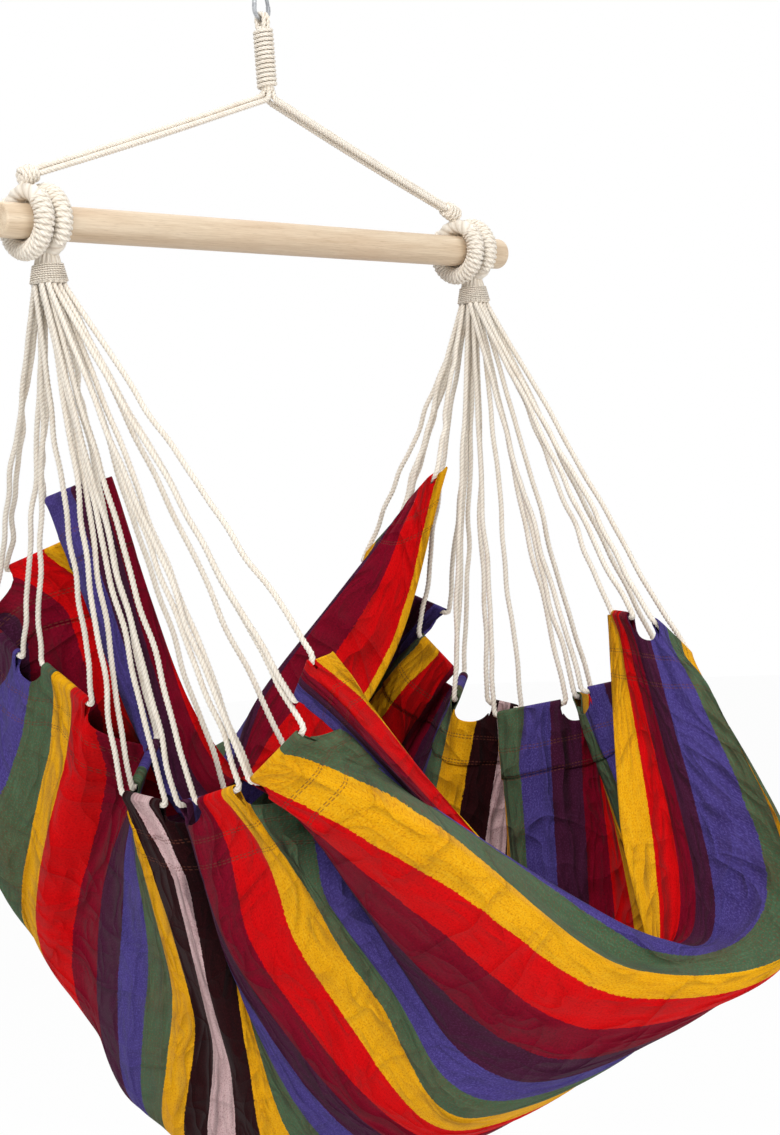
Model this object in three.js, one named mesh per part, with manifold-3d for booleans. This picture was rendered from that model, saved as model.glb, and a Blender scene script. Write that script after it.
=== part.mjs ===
// Hammock chair: a striped cotton seat on cords, a wooden spreader bar and a rope
// harness that hangs from a snap hook. Millimetres, +Z up, X along the bar with the
// photographed left end at -X, Y towards the back of the seat. The origin is where the
// inside top of the snap hook rests on whatever it is hung from.
import * as THREE from 'three';
import { mergeVertices } from 'three/addons/utils/BufferGeometryUtils.js';
import Module from 'manifold-3d';

const wasm = await Module();
wasm.setup();

// Driving sizes of the snap hook
const hookRod = 5.5;
const hookLength = 62;
const hookWideWidth = 28;
const hookNarrowWidth = 19;
const gateRod = 4.6;
const gateNoseHeight = 16;
const gateHingeDrop = 7;
const gateGap = 0.75;
const hingeTongue = 2;
const hingeSlotPlay = 0.35;
const hingePin = 1.8;
const hingePinPlay = 0.25;

// Driving sizes of the hanging loop and its whipping
const loopBandWidth = 12;
const loopBandThickness = 6;
const loopPlay = 0.75;
const shaftLength = 76;
const shaftDiameter = 15;
const loopLegLength = 9;
const whippingCord = 5;
const whippingTurns = 12;
const whippingInset = 4.5;

// Driving sizes of the harness and the bar
const barLength = 800;
const barDiameter = 38;
const barEndRound = 3;
const barBelowShaft = 174;
const barShift = -8;
const ropeDiameter = 6;
const knotDiameter = 23;
const knotLength = 24;
const knotHeight = 50;
const harnessInsetLeft = 38.5;
const harnessInsetRight = 79.5;

// Driving sizes of the rope eyes round the bar and the collars under them
const seatInsetLeft = 63;
const seatInsetRight = 55;
const eyeCore = 10.4;
const eyeBarPlay = 0.5;
const windingCord = 5.6;
const windingTurns = 16;
const neckTopDiameter = 24;
const neckBottomDiameter = 39;
const neckBottomDrop = 66;
const collarCord = 2.6;
const collarTurns = 6;
const collarPitch = 3.1;
const collarInset = 1.9;

// Driving sizes of the seat cords and the seat cloth
const cordDiameter = 6;
const cordPitch = 7.2;
const cordCorner = 8;
const cordLead = 2.5;
const bendClear = 3;
const tabCount = 11;
const stripeCount = 41;
const clothThickness = 2.2;
const pleatDepth = 78;
const notchDepth = 26;
const tunnelPlay = 0.65;
const tunnelWall = 1.8;
const seatHalfSpan = 345;
const seatHalfDepth = 300;
const seatDrop = 1000;
const touchGap = 0.3;

// Shares of the seat's half span, half depth and drop below the bar
const hemLeftShares = [
  [-0.755, -0.945, 0.478],
  [-0.75, -0.84, 0.522],
  [-0.75, -0.8, 0.566],
  [-0.75, -0.615, 0.603],
  [-0.75, -0.365, 0.626],
  [-0.75, -0.1, 0.634],
  [-0.75, 0.165, 0.612],
  [-0.75, 0.335, 0.5],
  [-0.75, 0.68, 0.465],
  [-0.75, 0.9, 0.395],
  [-0.74, 0.48, 0.335],
  [-0.755, 0.465, 0.288],
  [-0.75, 0.165, 0.272],
];
const hemRightShares = [
  [0.755, -0.75, 0.473],
  [0.76, -0.895, 0.472],
  [0.79, -1.04, 0.498],
  [0.77, -0.95, 0.54],
  [0.76, -0.685, 0.56],
  [0.755, -0.435, 0.578],
  [0.755, -0.2, 0.588],
  [0.755, 0, 0.57],
  [0.755, 0.235, 0.53],
  [0.754, 0.185, 0.53],
  [0.759, 0.267, 0.463],
  [0.759, 0.5, 0.393],
  [0.736, 0.2, 0.32],
  [0.71, 0.009, 0.275],
];
// Stripe counted from the front selvage, then where that line of cloth lies a quarter,
// half and three quarters of the way from the left hem to the right one
const foldShares = [
  [0, [-0.1, -0.805, 0.665], [0.395, -1.19, 0.9], [0.57, -0.95, 0.705]],
  [2, [0.04, -0.805, 0.725], [0.5, -1.09, 0.85], [0.735, -1.095, 0.785]],
  [4, [-0.165, -0.815, 0.67], [0.395, -1.255, 0.825], [0.785, -1.235, 0.81]],
  [5, [-0.31, -0.925, 0.655], [0.29, -1.235, 0.845], [0.81, -1.455, 0.8]],
  [6, [-0.445, -1.135, 0.68], [0.23, -1.31, 0.855], [0.74, -1.635, 0.82]],
  [7.5, [-0.405, -1.02, 0.755], [0.195, -1.185, 0.9], [0.71, -1.545, 0.845]],
  [9.5, [-0.355, -0.7, 0.8], [0.155, -0.925, 0.965], [0.73, -1.28, 0.865]],
  [12, [-0.275, -0.605, 0.85], [0.035, -0.64, 1.015], [0.7, -0.935, 0.925]],
  [15, [-0.51, -0.18, 0.84], [0.035, -0.35, 1.06], [0.61, -0.575, 0.96]],
  [19, [-0.44, 0.04, 0.935], [-0.12, 0.145, 1.075], [0.56, -0.18, 0.925]],
  [21, [-0.42, 0.245, 0.895], [-0.19, 0.445, 1.075], [0.565, 0.06, 0.905]],
  [25, [-0.565, 0.695, 0.775], [-0.145, 0.965, 1.045], [0.545, 0.63, 0.875]],
  [28, [-0.51, 1.145, 0.795], [-0.03, 1.155, 0.895], [0.52, 0.965, 0.78]],
  [30, [-0.615, 1.17, 0.71], [0.01, 1.13, 0.79], [0.505, 1.03, 0.685]],
  [33, [-0.61, 0.97, 0.55], [0.05, 0.87, 0.65], [0.48, 0.8, 0.545]],
  [35, [-0.5, 0.455, 0.565], [0.06, 0.52, 0.595], [0.47, 0.44, 0.485]],
  [38, [-0.42, 0.235, 0.665], [0.015, 0.275, 0.53], [0.505, 0.235, 0.39]],
  [41, [-0.375, 0.2, 0.555], [0.065, 0.24, 0.65], [0.575, 0.205, 0.51]],
];
// Stripe, and the share of the gathered hem's length at which it is sewn
const gatherLeftShares = [
  [0, 0], [2, 0.03], [4.3, 0.085], [5, 0.105], [6, 0.135], [7, 0.175], [9.3, 0.185],
  [11.9, 0.2], [13, 0.215], [14, 0.25], [15, 0.29], [17.5, 0.305], [19.4, 0.32], [20, 0.33],
  [21, 0.37], [23, 0.39], [25, 0.43], [27, 0.5], [28.5, 0.56], [31, 0.64], [33, 0.68],
  [34.3, 0.79], [36.5, 0.86], [41, 1],
];
const gatherRightShares = [
  [0, 0], [2.5, 0.05], [5.5, 0.103], [9.5, 0.235], [12, 0.29], [16, 0.345], [18, 0.42],
  [22, 0.475], [25.3, 0.55], [28, 0.62], [31, 0.7], [34.5, 0.82], [37.6, 0.92], [38.3, 0.93],
  [41, 1],
];
// Stripe, and how far the hem is drawn in there as a share of the pleat depth
const pleatLeftShares = [
  [0, 0.35], [0.8, 0], [3, 0], [3.8, 0.5], [4.47, 0.1], [5, 0], [7.2, 0], [10.6, 1], [11.7, 0],
  [15, 0], [18.1, 1], [19.3, 0], [21.7, 0], [25.6, 1], [26.7, 0], [29.2, 0], [33, 0],
  [34.2, 0], [36, 0.7], [38.5, 0.1], [41, 0.35],
];
const pleatRightShares = [
  [0, 0.35], [3, 0], [8, 1], [11, 0], [14, 1], [17.3, 0], [20.3, 1], [23.3, 0],
  [26, 1], [28.5, 0], [31, 1], [33.5, 0], [36.5, 0.1], [39.5, 0], [41, 0.35],
];
const pleatFade = 1.6;
const tabShare = 0.6;
const clothRowShares = [-1, -0.82, -0.54, -0.26, 0, 0.26, 0.54, 0.82, 1];

// Looks of the materials
const STEEL = { color: 0x9a9ca0, roughness: 0.35, metalness: 0.9 };
const ROPE = { color: 0xe3d6c2, roughness: 0.95, metalness: 0 };
const WOOD = { color: 0xe3c9a5, roughness: 0.6, metalness: 0 };
const CLOTH = { color: 0xb3202c, roughness: 0.95, metalness: 0 };

const vec = (x, y, z) => new THREE.Vector3(x, y, z);

// Small shared helpers

function closedMesh(positions, indices) {
  const geometry = new THREE.BufferGeometry();
  geometry.setAttribute('position', new THREE.Float32BufferAttribute(positions, 3));
  geometry.setIndex(indices);
  geometry.computeVertexNormals();
  return geometry;
}

// A tube of flat-sided section through the points, closed by a cap at each end
function tubeThrough(points, radius, sides) {
  const positions = [];
  const indices = [];
  const steps = points.map((point, i) => {
    const back = i > 0 ? point.clone().sub(points[i - 1]).normalize() : vec(0, 0, 0);
    const ahead = i < points.length - 1 ? points[i + 1].clone().sub(point).normalize() : vec(0, 0, 0);
    return back.add(ahead).normalize();
  });
  const first = steps[0];
  const upright = Math.abs(first.z) < 0.9 ? vec(0, 0, 1) : vec(0, 1, 0);
  let side = new THREE.Vector3().crossVectors(upright, first).normalize();
  points.forEach((point, i) => {
    side = side.clone().addScaledVector(steps[i], -side.dot(steps[i])).normalize();
    const other = new THREE.Vector3().crossVectors(steps[i], side);
    for (let k = 0; k < sides; k++) {
      const angle = (2 * Math.PI * k) / sides;
      const rim = point.clone();
      rim.addScaledVector(side, radius * Math.cos(angle));
      rim.addScaledVector(other, radius * Math.sin(angle));
      positions.push(rim.x, rim.y, rim.z);
    }
  });
  const rings = points.length;
  for (let i = 0; i < rings - 1; i++) {
    for (let k = 0; k < sides; k++) {
      const a = i * sides + k;
      const b = i * sides + ((k + 1) % sides);
      indices.push(a, b, b + sides, a, b + sides, a + sides);
    }
  }
  const last = (rings - 1) * sides;
  for (let k = 1; k < sides - 1; k++) {
    indices.push(0, k + 1, k);
    indices.push(last, last + k, last + k + 1);
  }
  return closedMesh(positions, indices);
}

function toManifold(geometry) {
  const bare = geometry.clone();
  bare.deleteAttribute('normal');
  bare.deleteAttribute('uv');
  const merged = mergeVertices(bare);
  return new wasm.Manifold(new wasm.Mesh({
    numProp: 3,
    vertProperties: new Float32Array(merged.attributes.position.array),
    triVerts: new Uint32Array(merged.index.array),
  }));
}

function toGeometry(solid) {
  const mesh = solid.getMesh();
  return closedMesh(Array.from(mesh.vertProperties), Array.from(mesh.triVerts));
}

function joined(geometries) {
  const solids = geometries.map(toManifold);
  return toGeometry(solids.slice(1).reduce((whole, solid) => whole.add(solid), solids[0]));
}

function cutAway(geometry, tools) {
  return toGeometry(tools.map(toManifold).reduce((left, tool) => left.subtract(tool), toManifold(geometry)));
}

// A solid turned about the Z axis, from outline points given as radius and height
function turned(outline, sides) {
  const profile = outline.map(([radius, height]) => new THREE.Vector2(radius, height));
  return new THREE.LatheGeometry(profile, sides).rotateX(Math.PI / 2);
}

function moved(geometry, x, y, z) {
  return geometry.clone().translate(x, y, z);
}

function named(name, geometry, look) {
  const mesh = new THREE.Mesh(geometry, new THREE.MeshStandardMaterial(look));
  mesh.name = name;
  return mesh;
}

// Steady cubic through [place, value] pairs that never overshoots them
function smoothThrough(pairs, place) {
  const rises = [];
  for (let i = 0; i < pairs.length - 1; i++) {
    rises.push((pairs[i + 1][1] - pairs[i][1]) / (pairs[i + 1][0] - pairs[i][0]));
  }
  const slopes = pairs.map((pair, i) => {
    if (i === 0) return rises[0];
    if (i === pairs.length - 1) return rises[i - 1];
    const before = rises[i - 1];
    const after = rises[i];
    return before * after <= 0 ? 0 : (2 * before * after) / (before + after);
  });
  let i = 0;
  while (i < pairs.length - 2 && place > pairs[i + 1][0]) i += 1;
  const width = pairs[i + 1][0] - pairs[i][0];
  const t = Math.min(Math.max((place - pairs[i][0]) / width, 0), 1);
  const start = (1 + 2 * t) * (1 - t) ** 2 * pairs[i][1] + t * (1 - t) ** 2 * width * slopes[i];
  const end = t * t * (3 - 2 * t) * pairs[i + 1][1] + t * t * (t - 1) * width * slopes[i + 1];
  return start + end;
}

// Snap hook

const hookWideArc = (hookWideWidth - hookRod) / 2;
const hookNarrowArc = (hookNarrowWidth - hookRod) / 2;
const hookTopZ = hookRod / 2;
const hookNarrowZ = hookTopZ - hookNarrowArc;
const hookBottomZ = hookTopZ - (hookLength - hookRod);
const hookWideZ = hookBottomZ + hookWideArc;
const gateHinge = vec(hookNarrowArc, 0, hookNarrowZ - gateHingeDrop);
const gateNose = vec(hookWideArc, 0, hookBottomZ + gateNoseHeight);
const gateAlong = gateNose.clone().sub(gateHinge).normalize();

function arcPoints(x, z, radius, from, to, count) {
  const points = [];
  for (let i = 0; i <= count; i++) {
    const angle = from + ((to - from) * i) / count;
    points.push(vec(x + radius * Math.cos(angle), 0, z + radius * Math.sin(angle)));
  }
  return points;
}

const tongueReach = hookRod * 0.75;

function hookFrame() {
  const tongueTop = gateHinge.clone().addScaledVector(gateAlong, -tongueReach);
  const over = arcPoints(0, hookNarrowZ, hookNarrowArc, 0, Math.PI, 8);
  const under = arcPoints(0, hookWideZ, hookWideArc, Math.PI, 2 * Math.PI, 10);
  const rod = tubeThrough([tongueTop, ...over, ...under, gateNose], hookRod / 2, 10);
  const tongue = new THREE.BoxGeometry(hookRod * 0.8, hingeTongue, 2 * tongueReach);
  const lean = Math.atan2(-gateAlong.x, -gateAlong.z);
  tongue.rotateY(lean);
  tongue.translate(gateHinge.x, 0, gateHinge.z);
  const hole = pinGeometry(hingePin / 2 + hingePinPlay, 2 * hookRod);
  return cutAway(joined([rod, tongue]), [hole]);
}

function pinGeometry(radius, length) {
  const pin = new THREE.CylinderGeometry(radius, radius, length, 12);
  return moved(pin, gateHinge.x, 0, gateHinge.z);
}

function gateGeometry() {
  const length = gateHinge.distanceTo(gateNose) - gateGap;
  const top = gateHinge.clone().addScaledVector(gateAlong, -gateRod / 2);
  const bottom = gateHinge.clone().addScaledVector(gateAlong, length);
  const rod = tubeThrough([top, bottom], gateRod / 2, 10);
  const slot = new THREE.BoxGeometry(2 * hookRod, hingeTongue + 2 * hingeSlotPlay, 2 * (tongueReach + gateGap));
  slot.rotateY(Math.atan2(-gateAlong.x, -gateAlong.z));
  slot.translate(gateHinge.x, 0, gateHinge.z);
  const hole = pinGeometry(hingePin / 2 + hingePinPlay, 2 * hookRod);
  return cutAway(rod, [slot, hole]);
}

// Windings: a cord laid in turns round a core that follows a path

// pathAt(t) gives a point of the core's centre line and two directions square to it,
// t in millimetres. Both ends of the cord run on straight for one cord diameter.
function woundCord(pathAt, start, pitch, turns, ringRadiusAt, cord, stepsPerTurn) {
  const pointAt = (turn) => {
    const along = start + turn * pitch;
    const angle = 2 * Math.PI * turn;
    const { point, side, other } = pathAt(along);
    const radius = ringRadiusAt(along);
    return point.clone()
      .addScaledVector(side, radius * Math.cos(angle))
      .addScaledVector(other, radius * Math.sin(angle));
  };
  const points = [];
  for (let i = 0; i <= turns * stepsPerTurn; i++) points.push(pointAt(i / stepsPerTurn));
  const nudge = 1 / (stepsPerTurn * 100);
  const tailFrom = (turn, step) => {
    const foot = pointAt(turn);
    const away = pointAt(turn + step).sub(foot).normalize();
    return foot.addScaledVector(away, cord);
  };
  return [tailFrom(0, -nudge), ...points, tailFrom(turns, nudge)];
}

// Least distance between stretches of the cord that are more than half a turn apart
function leastGap(points, cord, stepsPerTurn) {
  let least = Infinity;
  for (let i = 0; i < points.length; i++) {
    for (let j = i + Math.ceil(stepsPerTurn / 2); j < points.length; j++) {
      least = Math.min(least, points[i].distanceTo(points[j]));
    }
  }
  return least - cord;
}

function reportGap(name, points, cord, stepsPerTurn) {
  console.log(`${name}: least gap ${leastGap(points, cord, stepsPerTurn).toFixed(2)} mm`);
}

// A ring laid round a core in straight chords dips inwards by this factor
const chordDip = (steps) => Math.cos(Math.PI / steps);

// Hanging loop, shaft and whipping

const swingZ = hookBottomZ;
const shaftTopZ = swingZ - loopLegLength;
const shaftBottomZ = shaftTopZ - shaftLength;

function hangingLoop() {
  const bend = hookRod / 2 + loopPlay + loopBandThickness / 2;
  const route = [];
  for (let i = 0; i <= 12; i++) {
    const angle = (Math.PI * i) / 12;
    route.push(vec(0, bend * Math.cos(angle), swingZ + bend * Math.sin(angle)));
  }
  const foot = shaftTopZ - loopBandThickness;
  const inset = shaftDiameter / 2 - loopBandThickness / 2;
  route.unshift(vec(0, inset, foot));
  route.push(vec(0, -inset, foot));
  const band = tubeThrough(route, loopBandThickness / 2, 8);
  band.scale(loopBandWidth / loopBandThickness, 1, 1);
  const radius = shaftDiameter / 2;
  const shaft = turned([[0, shaftBottomZ], [radius, shaftBottomZ], [radius, shaftTopZ], [0, shaftTopZ]], 16);
  return joined([shaft, band]);
}

const whippingSteps = 10;
const whippingRing = (shaftDiameter / 2 + touchGap + whippingCord / 2) / chordDip(whippingSteps);
const whippingPitch = (shaftLength - 2 * whippingInset) / whippingTurns;

function hangingWhipping() {
  const pathAt = (along) => ({ point: vec(0, 0, shaftTopZ - along), side: vec(1, 0, 0), other: vec(0, -1, 0) });
  const points = woundCord(
    pathAt, whippingInset, whippingPitch, whippingTurns, () => whippingRing, whippingCord, whippingSteps,
  );
  reportGap('hanging_whipping', points, whippingCord, whippingSteps);
  return tubeThrough(points, whippingCord / 2, 5);
}

// Rope eyes round the bar

const barZ = shaftBottomZ - barBelowShaft;
const windingSteps = 8;
const windingRing = (eyeCore / 2 + touchGap + windingCord / 2) / chordDip(windingSteps);
const eyeBand = windingRing + windingCord / 2;
const eyePath = barDiameter / 2 + eyeBarPlay + eyeBand;
const windingClearAngle = 0.87;
const windingArc = eyePath * (2 * Math.PI - 2 * windingClearAngle);

// A closed ring of the eye's core in the Y-Z plane about the origin
function eyeRing() {
  return new THREE.TorusGeometry(eyePath, eyeCore / 2, 8, 20).rotateY(Math.PI / 2);
}

function eyeWinding(name, openAngle) {
  const pitch = windingArc / windingTurns;
  const pathAt = (along) => {
    const angle = openAngle + windingClearAngle + along / eyePath;
    const out = vec(0, Math.cos(angle), Math.sin(angle));
    return { point: out.clone().multiplyScalar(eyePath), side: out, other: vec(1, 0, 0) };
  };
  const points = woundCord(pathAt, 0, pitch, windingTurns, () => windingRing, windingCord, windingSteps);
  reportGap(name, points, windingCord, windingSteps);
  return tubeThrough(points, windingCord / 2, 4);
}

const neckTopZ = -eyePath;

function seatEye() {
  const neck = turned([
    [0, -neckBottomDrop],
    [neckBottomDiameter / 2, -neckBottomDrop],
    [neckTopDiameter / 2, neckTopZ],
    [0, neckTopZ],
  ], 16);
  return joined([eyeRing(), neck]);
}

// The collar is wound round the neck, a cone that widens downwards
function neckCollar(name) {
  const steps = 10;
  const coneRise = neckTopZ + neckBottomDrop;
  const start = coneRise - collarInset - collarTurns * collarPitch;
  const pathAt = (along) => ({ point: vec(0, 0, neckTopZ - along), side: vec(0, 1, 0), other: vec(1, 0, 0) });
  const ringAt = (along) => {
    const core = (neckTopDiameter + ((neckBottomDiameter - neckTopDiameter) * along) / coneRise) / 2;
    return (core + (collarCord / 2 + touchGap) * 1.15) / chordDip(steps);
  };
  const points = woundCord(pathAt, start, collarPitch, collarTurns, ringAt, collarCord, steps);
  reportGap(name, points, collarCord, steps);
  return tubeThrough(points, collarCord / 2, 4);
}

// The harness knot sits on the eye's ring and faces the foot of the shaft
function knotAxis(eyeX) {
  return vec(barShift + eyeX > 0 ? -1 : 1, 0, 0);
}

function knotCentre(eyeX) {
  return vec(0, 0, knotHeight).addScaledVector(knotAxis(eyeX), knotLength / 2 - eyeCore / 2);
}

function ropeFoot(eyeX) {
  const centre = knotCentre(eyeX);
  const goal = vec(-barShift - eyeX, 0, shaftBottomZ - barZ - 2 * ropeDiameter);
  const along = goal.clone().sub(centre).normalize();
  return { centre, along };
}

function harnessEye(eyeX) {
  const { centre, along } = ropeFoot(eyeX);
  const knot = new THREE.CylinderGeometry(knotDiameter / 2, knotDiameter / 2, knotLength, 14);
  knot.rotateZ(Math.PI / 2);
  knot.rotateY(-Math.atan2(along.z, along.x));
  knot.translate(centre.x, centre.y, centre.z);
  const post = turned([[0, eyePath], [eyeCore / 2, eyePath], [eyeCore / 2, knotHeight], [0, knotHeight]], 8);
  return joined([eyeRing(), post, knot]);
}

// Harness ropes, three a side, from under the shaft to the knot

const ropeCount = 3;
const ropeSpread = ropeDiameter * 1.1;

function harnessRope(eyeX, index) {
  const { centre, along } = ropeFoot(eyeX);
  const side = Math.sign(eyeX);
  const seatAngles = [Math.PI / 3, 0, -Math.PI / 3];
  const angle = seatAngles[index];
  const top = vec(side * ropeSpread * Math.cos(angle), ropeSpread * Math.sin(angle), shaftBottomZ - touchGap);
  const lift = new THREE.Vector3().crossVectors(along, vec(0, 1, 0)).normalize();
  const upward = lift.z < 0 ? lift.negate() : lift;
  const isMiddle = index === 1;
  const rise = isMiddle ? ropeSpread * 0.6 : -ropeSpread * 0.3;
  const sway = isMiddle ? 0 : Math.sign(Math.sin(angle)) * ropeSpread * 0.52;
  const face = centre.clone().addScaledVector(along, knotLength / 2 + touchGap);
  face.add(vec(barShift + eyeX, 0, barZ));
  const end = face.clone().addScaledVector(upward, rise).add(vec(0, sway, 0));
  const corner = top.clone().add(vec(0, 0, -ropeDiameter * (isMiddle ? 0.9 : 1.7)));
  const leave = end.clone().sub(corner).normalize();
  const bend = new THREE.QuadraticBezierCurve3(
    top.clone().lerp(corner, 0.3), corner, corner.clone().addScaledVector(leave, ropeDiameter * 1.4),
  );
  return tubeThrough([top, ...bend.getPoints(4), end], ropeDiameter / 2, 8);
}

// Spreader bar

function spreaderBar() {
  const radius = barDiameter / 2;
  const half = barLength / 2;
  const outline = [[0, -half], [radius - barEndRound, -half], [radius - barEndRound * 0.3, -half + barEndRound * 0.3]];
  outline.push([radius, -half + barEndRound]);
  const mirrored = outline.map(([r, z]) => [r, -z]).reverse();
  return turned([...outline, ...mirrored], 24).rotateY(Math.PI / 2);
}

// Seat cloth: a surface through the hems and the folds between them

function netPoint(shares) {
  return vec(shares[0] * seatHalfSpan, shares[1] * seatHalfDepth, -shares[2] * seatDrop);
}

const hemCurveLeft = new THREE.CatmullRomCurve3(hemLeftShares.map(netPoint), false, 'catmullrom', 0.5);
const hemCurveRight = new THREE.CatmullRomCurve3(hemRightShares.map(netPoint), false, 'catmullrom', 0.5);

function foldPoint(stripe, column) {
  const axes = [0, 1, 2].map((axis) => {
    const pairs = foldShares.map((row) => [row[0], row[column][axis]]);
    return smoothThrough(pairs, stripe);
  });
  return netPoint(axes);
}

// How far the hem is drawn in at a stripe, 0 on the crest of a pleat
function pleatAt(stripe, pleatShares) {
  let i = 0;
  while (i < pleatShares.length - 2 && stripe > pleatShares[i + 1][0]) i += 1;
  const [from, before] = pleatShares[i];
  const [to, after] = pleatShares[i + 1];
  const ease = (1 - Math.cos((Math.PI * (stripe - from)) / (to - from))) / 2;
  return before + (after - before) * ease;
}

// A point of the cloth's middle surface: stripe 0 to 41 from the front selvage, across
// -1 at the left hem to 1 at the right hem
function clothPoint(stripe, across) {
  const left = hemCurveLeft.getPointAt(smoothThrough(gatherLeftShares, stripe));
  const right = hemCurveRight.getPointAt(smoothThrough(gatherRightShares, stripe));
  const inner = [1, 2, 3].map((column) => foldPoint(stripe, column));
  const line = new THREE.CatmullRomCurve3([left, ...inner, right], false, 'catmullrom', 0.5);
  const point = line.getPoint((across + 1) / 2);
  const pleat = pleatAt(stripe, across < 0 ? pleatLeftShares : pleatRightShares);
  point.x += pleatDepth * pleat * Math.abs(across) ** pleatFade;
  return point;
}

// Tabs: stretches of hem with a sewn tunnel that a cord runs through

const stripesPerTab = stripeCount / tabCount;
const halfTab = (stripesPerTab * tabShare) / 2;
const tunnelSides = 6;
const tunnelFlat = Math.cos(Math.PI / tunnelSides);
const tunnelInner = (cordDiameter / 2 + tunnelPlay) / tunnelFlat;
const tunnelOuter = tunnelInner + tunnelWall / tunnelFlat;

function tabAt(index, across) {
  const middle = stripesPerTab * (index + 0.5);
  const start = clothPoint(middle - halfTab, across);
  const end = clothPoint(middle + halfTab, across);
  const axis = end.clone().sub(start).normalize();
  const inwards = clothPoint(middle, across * (1 - tabShare * 0.2)).sub(clothPoint(middle, across));
  inwards.addScaledVector(axis, -inwards.dot(axis)).normalize();
  return { start, end, axis, inwards };
}

function clothColumns() {
  const columns = [{ stripe: 0 }];
  for (let index = 0; index < tabCount; index++) {
    const middle = stripesPerTab * (index + 0.5);
    columns.push({ stripe: middle - halfTab, tab: index });
    columns.push({ stripe: middle + halfTab, tab: index });
    if (index < tabCount - 1) columns.push({ stripe: middle + stripesPerTab / 2, notch: true });
  }
  columns.push({ stripe: stripeCount });
  return columns;
}

function clothGrid() {
  const lineLength = seatDrop;
  const notchShare = (2 * notchDepth) / lineLength;
  return clothColumns().map((column) => clothRowShares.map((across) => {
    const atHem = Math.abs(across) === 1;
    if (atHem && column.tab !== undefined) {
      const tab = tabAt(column.tab, across);
      const isStart = column.stripe < stripesPerTab * (column.tab + 0.5);
      const hem = isStart ? tab.start : tab.end;
      return hem.clone().addScaledVector(tab.inwards, tunnelOuter);
    }
    const share = atHem && column.notch ? across * (1 - notchShare) : across;
    return clothPoint(column.stripe, share);
  }));
}

// The cloth's two faces, half its thickness either side of the middle surface, with the
// hem of every tab carried round a tunnel
function seatCloth() {
  const columns = clothColumns();
  const grid = clothGrid();
  const wide = grid.length;
  const long = grid[0].length;
  const normals = grid.map((column, i) => column.map((point, j) => {
    const ahead = grid[Math.min(i + 1, wide - 1)][j].clone().sub(grid[Math.max(i - 1, 0)][j]);
    const across = grid[i][Math.min(j + 1, long - 1)].clone().sub(grid[i][Math.max(j - 1, 0)]);
    return ahead.cross(across).normalize();
  }));
  const positions = [];
  const indices = [];
  const place = (point) => positions.push(point.x, point.y, point.z) / 3 - 1;
  const skins = [1, -1].map((face) => grid.map((column, i) => column.map((point, j) => (
    place(point.clone().addScaledVector(normals[i][j], (face * clothThickness) / 2))
  ))));
  const [front, back] = skins;
  const quad = (a, b, c, d) => indices.push(a, b, c, a, c, d);
  const isSewn = (i) => columns[i].tab !== undefined && columns[i].tab === columns[i + 1].tab;
  for (let i = 0; i < wide - 1; i++) {
    for (let j = 0; j < long - 1; j++) {
      quad(front[i][j], front[i + 1][j], front[i + 1][j + 1], front[i][j + 1]);
      quad(back[i][j], back[i][j + 1], back[i + 1][j + 1], back[i + 1][j]);
    }
    const end = long - 1;
    if (isSewn(i)) {
      const rims = (j) => [[front[i][j], back[i][j]], [front[i + 1][j], back[i + 1][j]]];
      sewTunnel(tabAt(columns[i].tab, -1), rims(0), place, indices, false);
      sewTunnel(tabAt(columns[i].tab, 1), rims(end), place, indices, true);
    } else {
      quad(front[i][0], back[i][0], back[i + 1][0], front[i + 1][0]);
      quad(front[i][end], front[i + 1][end], back[i + 1][end], back[i][end]);
    }
  }
  for (let j = 0; j < long - 1; j++) {
    quad(front[0][j], front[0][j + 1], back[0][j + 1], back[0][j]);
    quad(front[wide - 1][j], back[wide - 1][j], back[wide - 1][j + 1], front[wide - 1][j + 1]);
  }
  return closedMesh(positions, indices);
}

// Carries the two skins round the cord's tunnel, with its bore and its two mouths
function sewTunnel(tab, rims, place, indices, isRight) {
  const face = new THREE.Vector3().crossVectors(tab.axis, tab.inwards).multiplyScalar(isRight ? -1 : 1);
  const rings = [tab.start, tab.end].map((centre, which) => {
    const rimAt = (k, radius) => {
      const angle = (2 * Math.PI * k) / tunnelSides;
      return place(centre.clone()
        .addScaledVector(tab.inwards, radius * Math.cos(angle))
        .addScaledVector(face, radius * Math.sin(angle)));
    };
    const outer = Array.from({ length: tunnelSides - 1 }, (_, k) => rimAt(k + 1, tunnelOuter));
    const inner = Array.from({ length: tunnelSides }, (_, k) => rimAt(k, tunnelInner));
    return { outer: [rims[which][0], ...outer, rims[which][1]], inner };
  });
  const [start, end] = rings;
  const tri = (a, b, c) => (isRight ? indices.push(a, c, b) : indices.push(a, b, c));
  const quad = (a, b, c, d) => {
    tri(a, b, c);
    tri(a, c, d);
  };
  for (let k = 0; k < tunnelSides; k++) {
    const next = (k + 1) % tunnelSides;
    quad(start.outer[k], start.outer[k + 1], end.outer[k + 1], end.outer[k]);
    quad(start.inner[k], end.inner[k], end.inner[next], start.inner[next]);
    quad(end.outer[k], end.outer[k + 1], end.inner[next], end.inner[k]);
    quad(start.outer[k], start.inner[k], start.inner[next], start.outer[k + 1]);
  }
  tri(end.outer[0], end.inner[0], end.outer[tunnelSides]);
  tri(start.outer[0], start.outer[tunnelSides], start.inner[0]);
}

// Seat cords: each runs down from the neck, through a tab's tunnel and up again

// A cord that doubles back along its own tab reaches on until it clears the tunnel
const tunnelClear = tunnelOuter + cordDiameter / 2 + bendClear;

// Places of the cords under the neck, in rows across the bar
function neckPlaces() {
  const rowSizes = [4, 5, 4, 5, 4];
  const rowGap = (cordPitch * Math.sqrt(3)) / 2;
  const rows = rowSizes.map((size, row) => {
    const y = (row - (rowSizes.length - 1) / 2) * rowGap;
    return Array.from({ length: size }, (_, k) => vec((k - (size - 1) / 2) * cordPitch, y, 0));
  });
  return rows;
}

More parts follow.
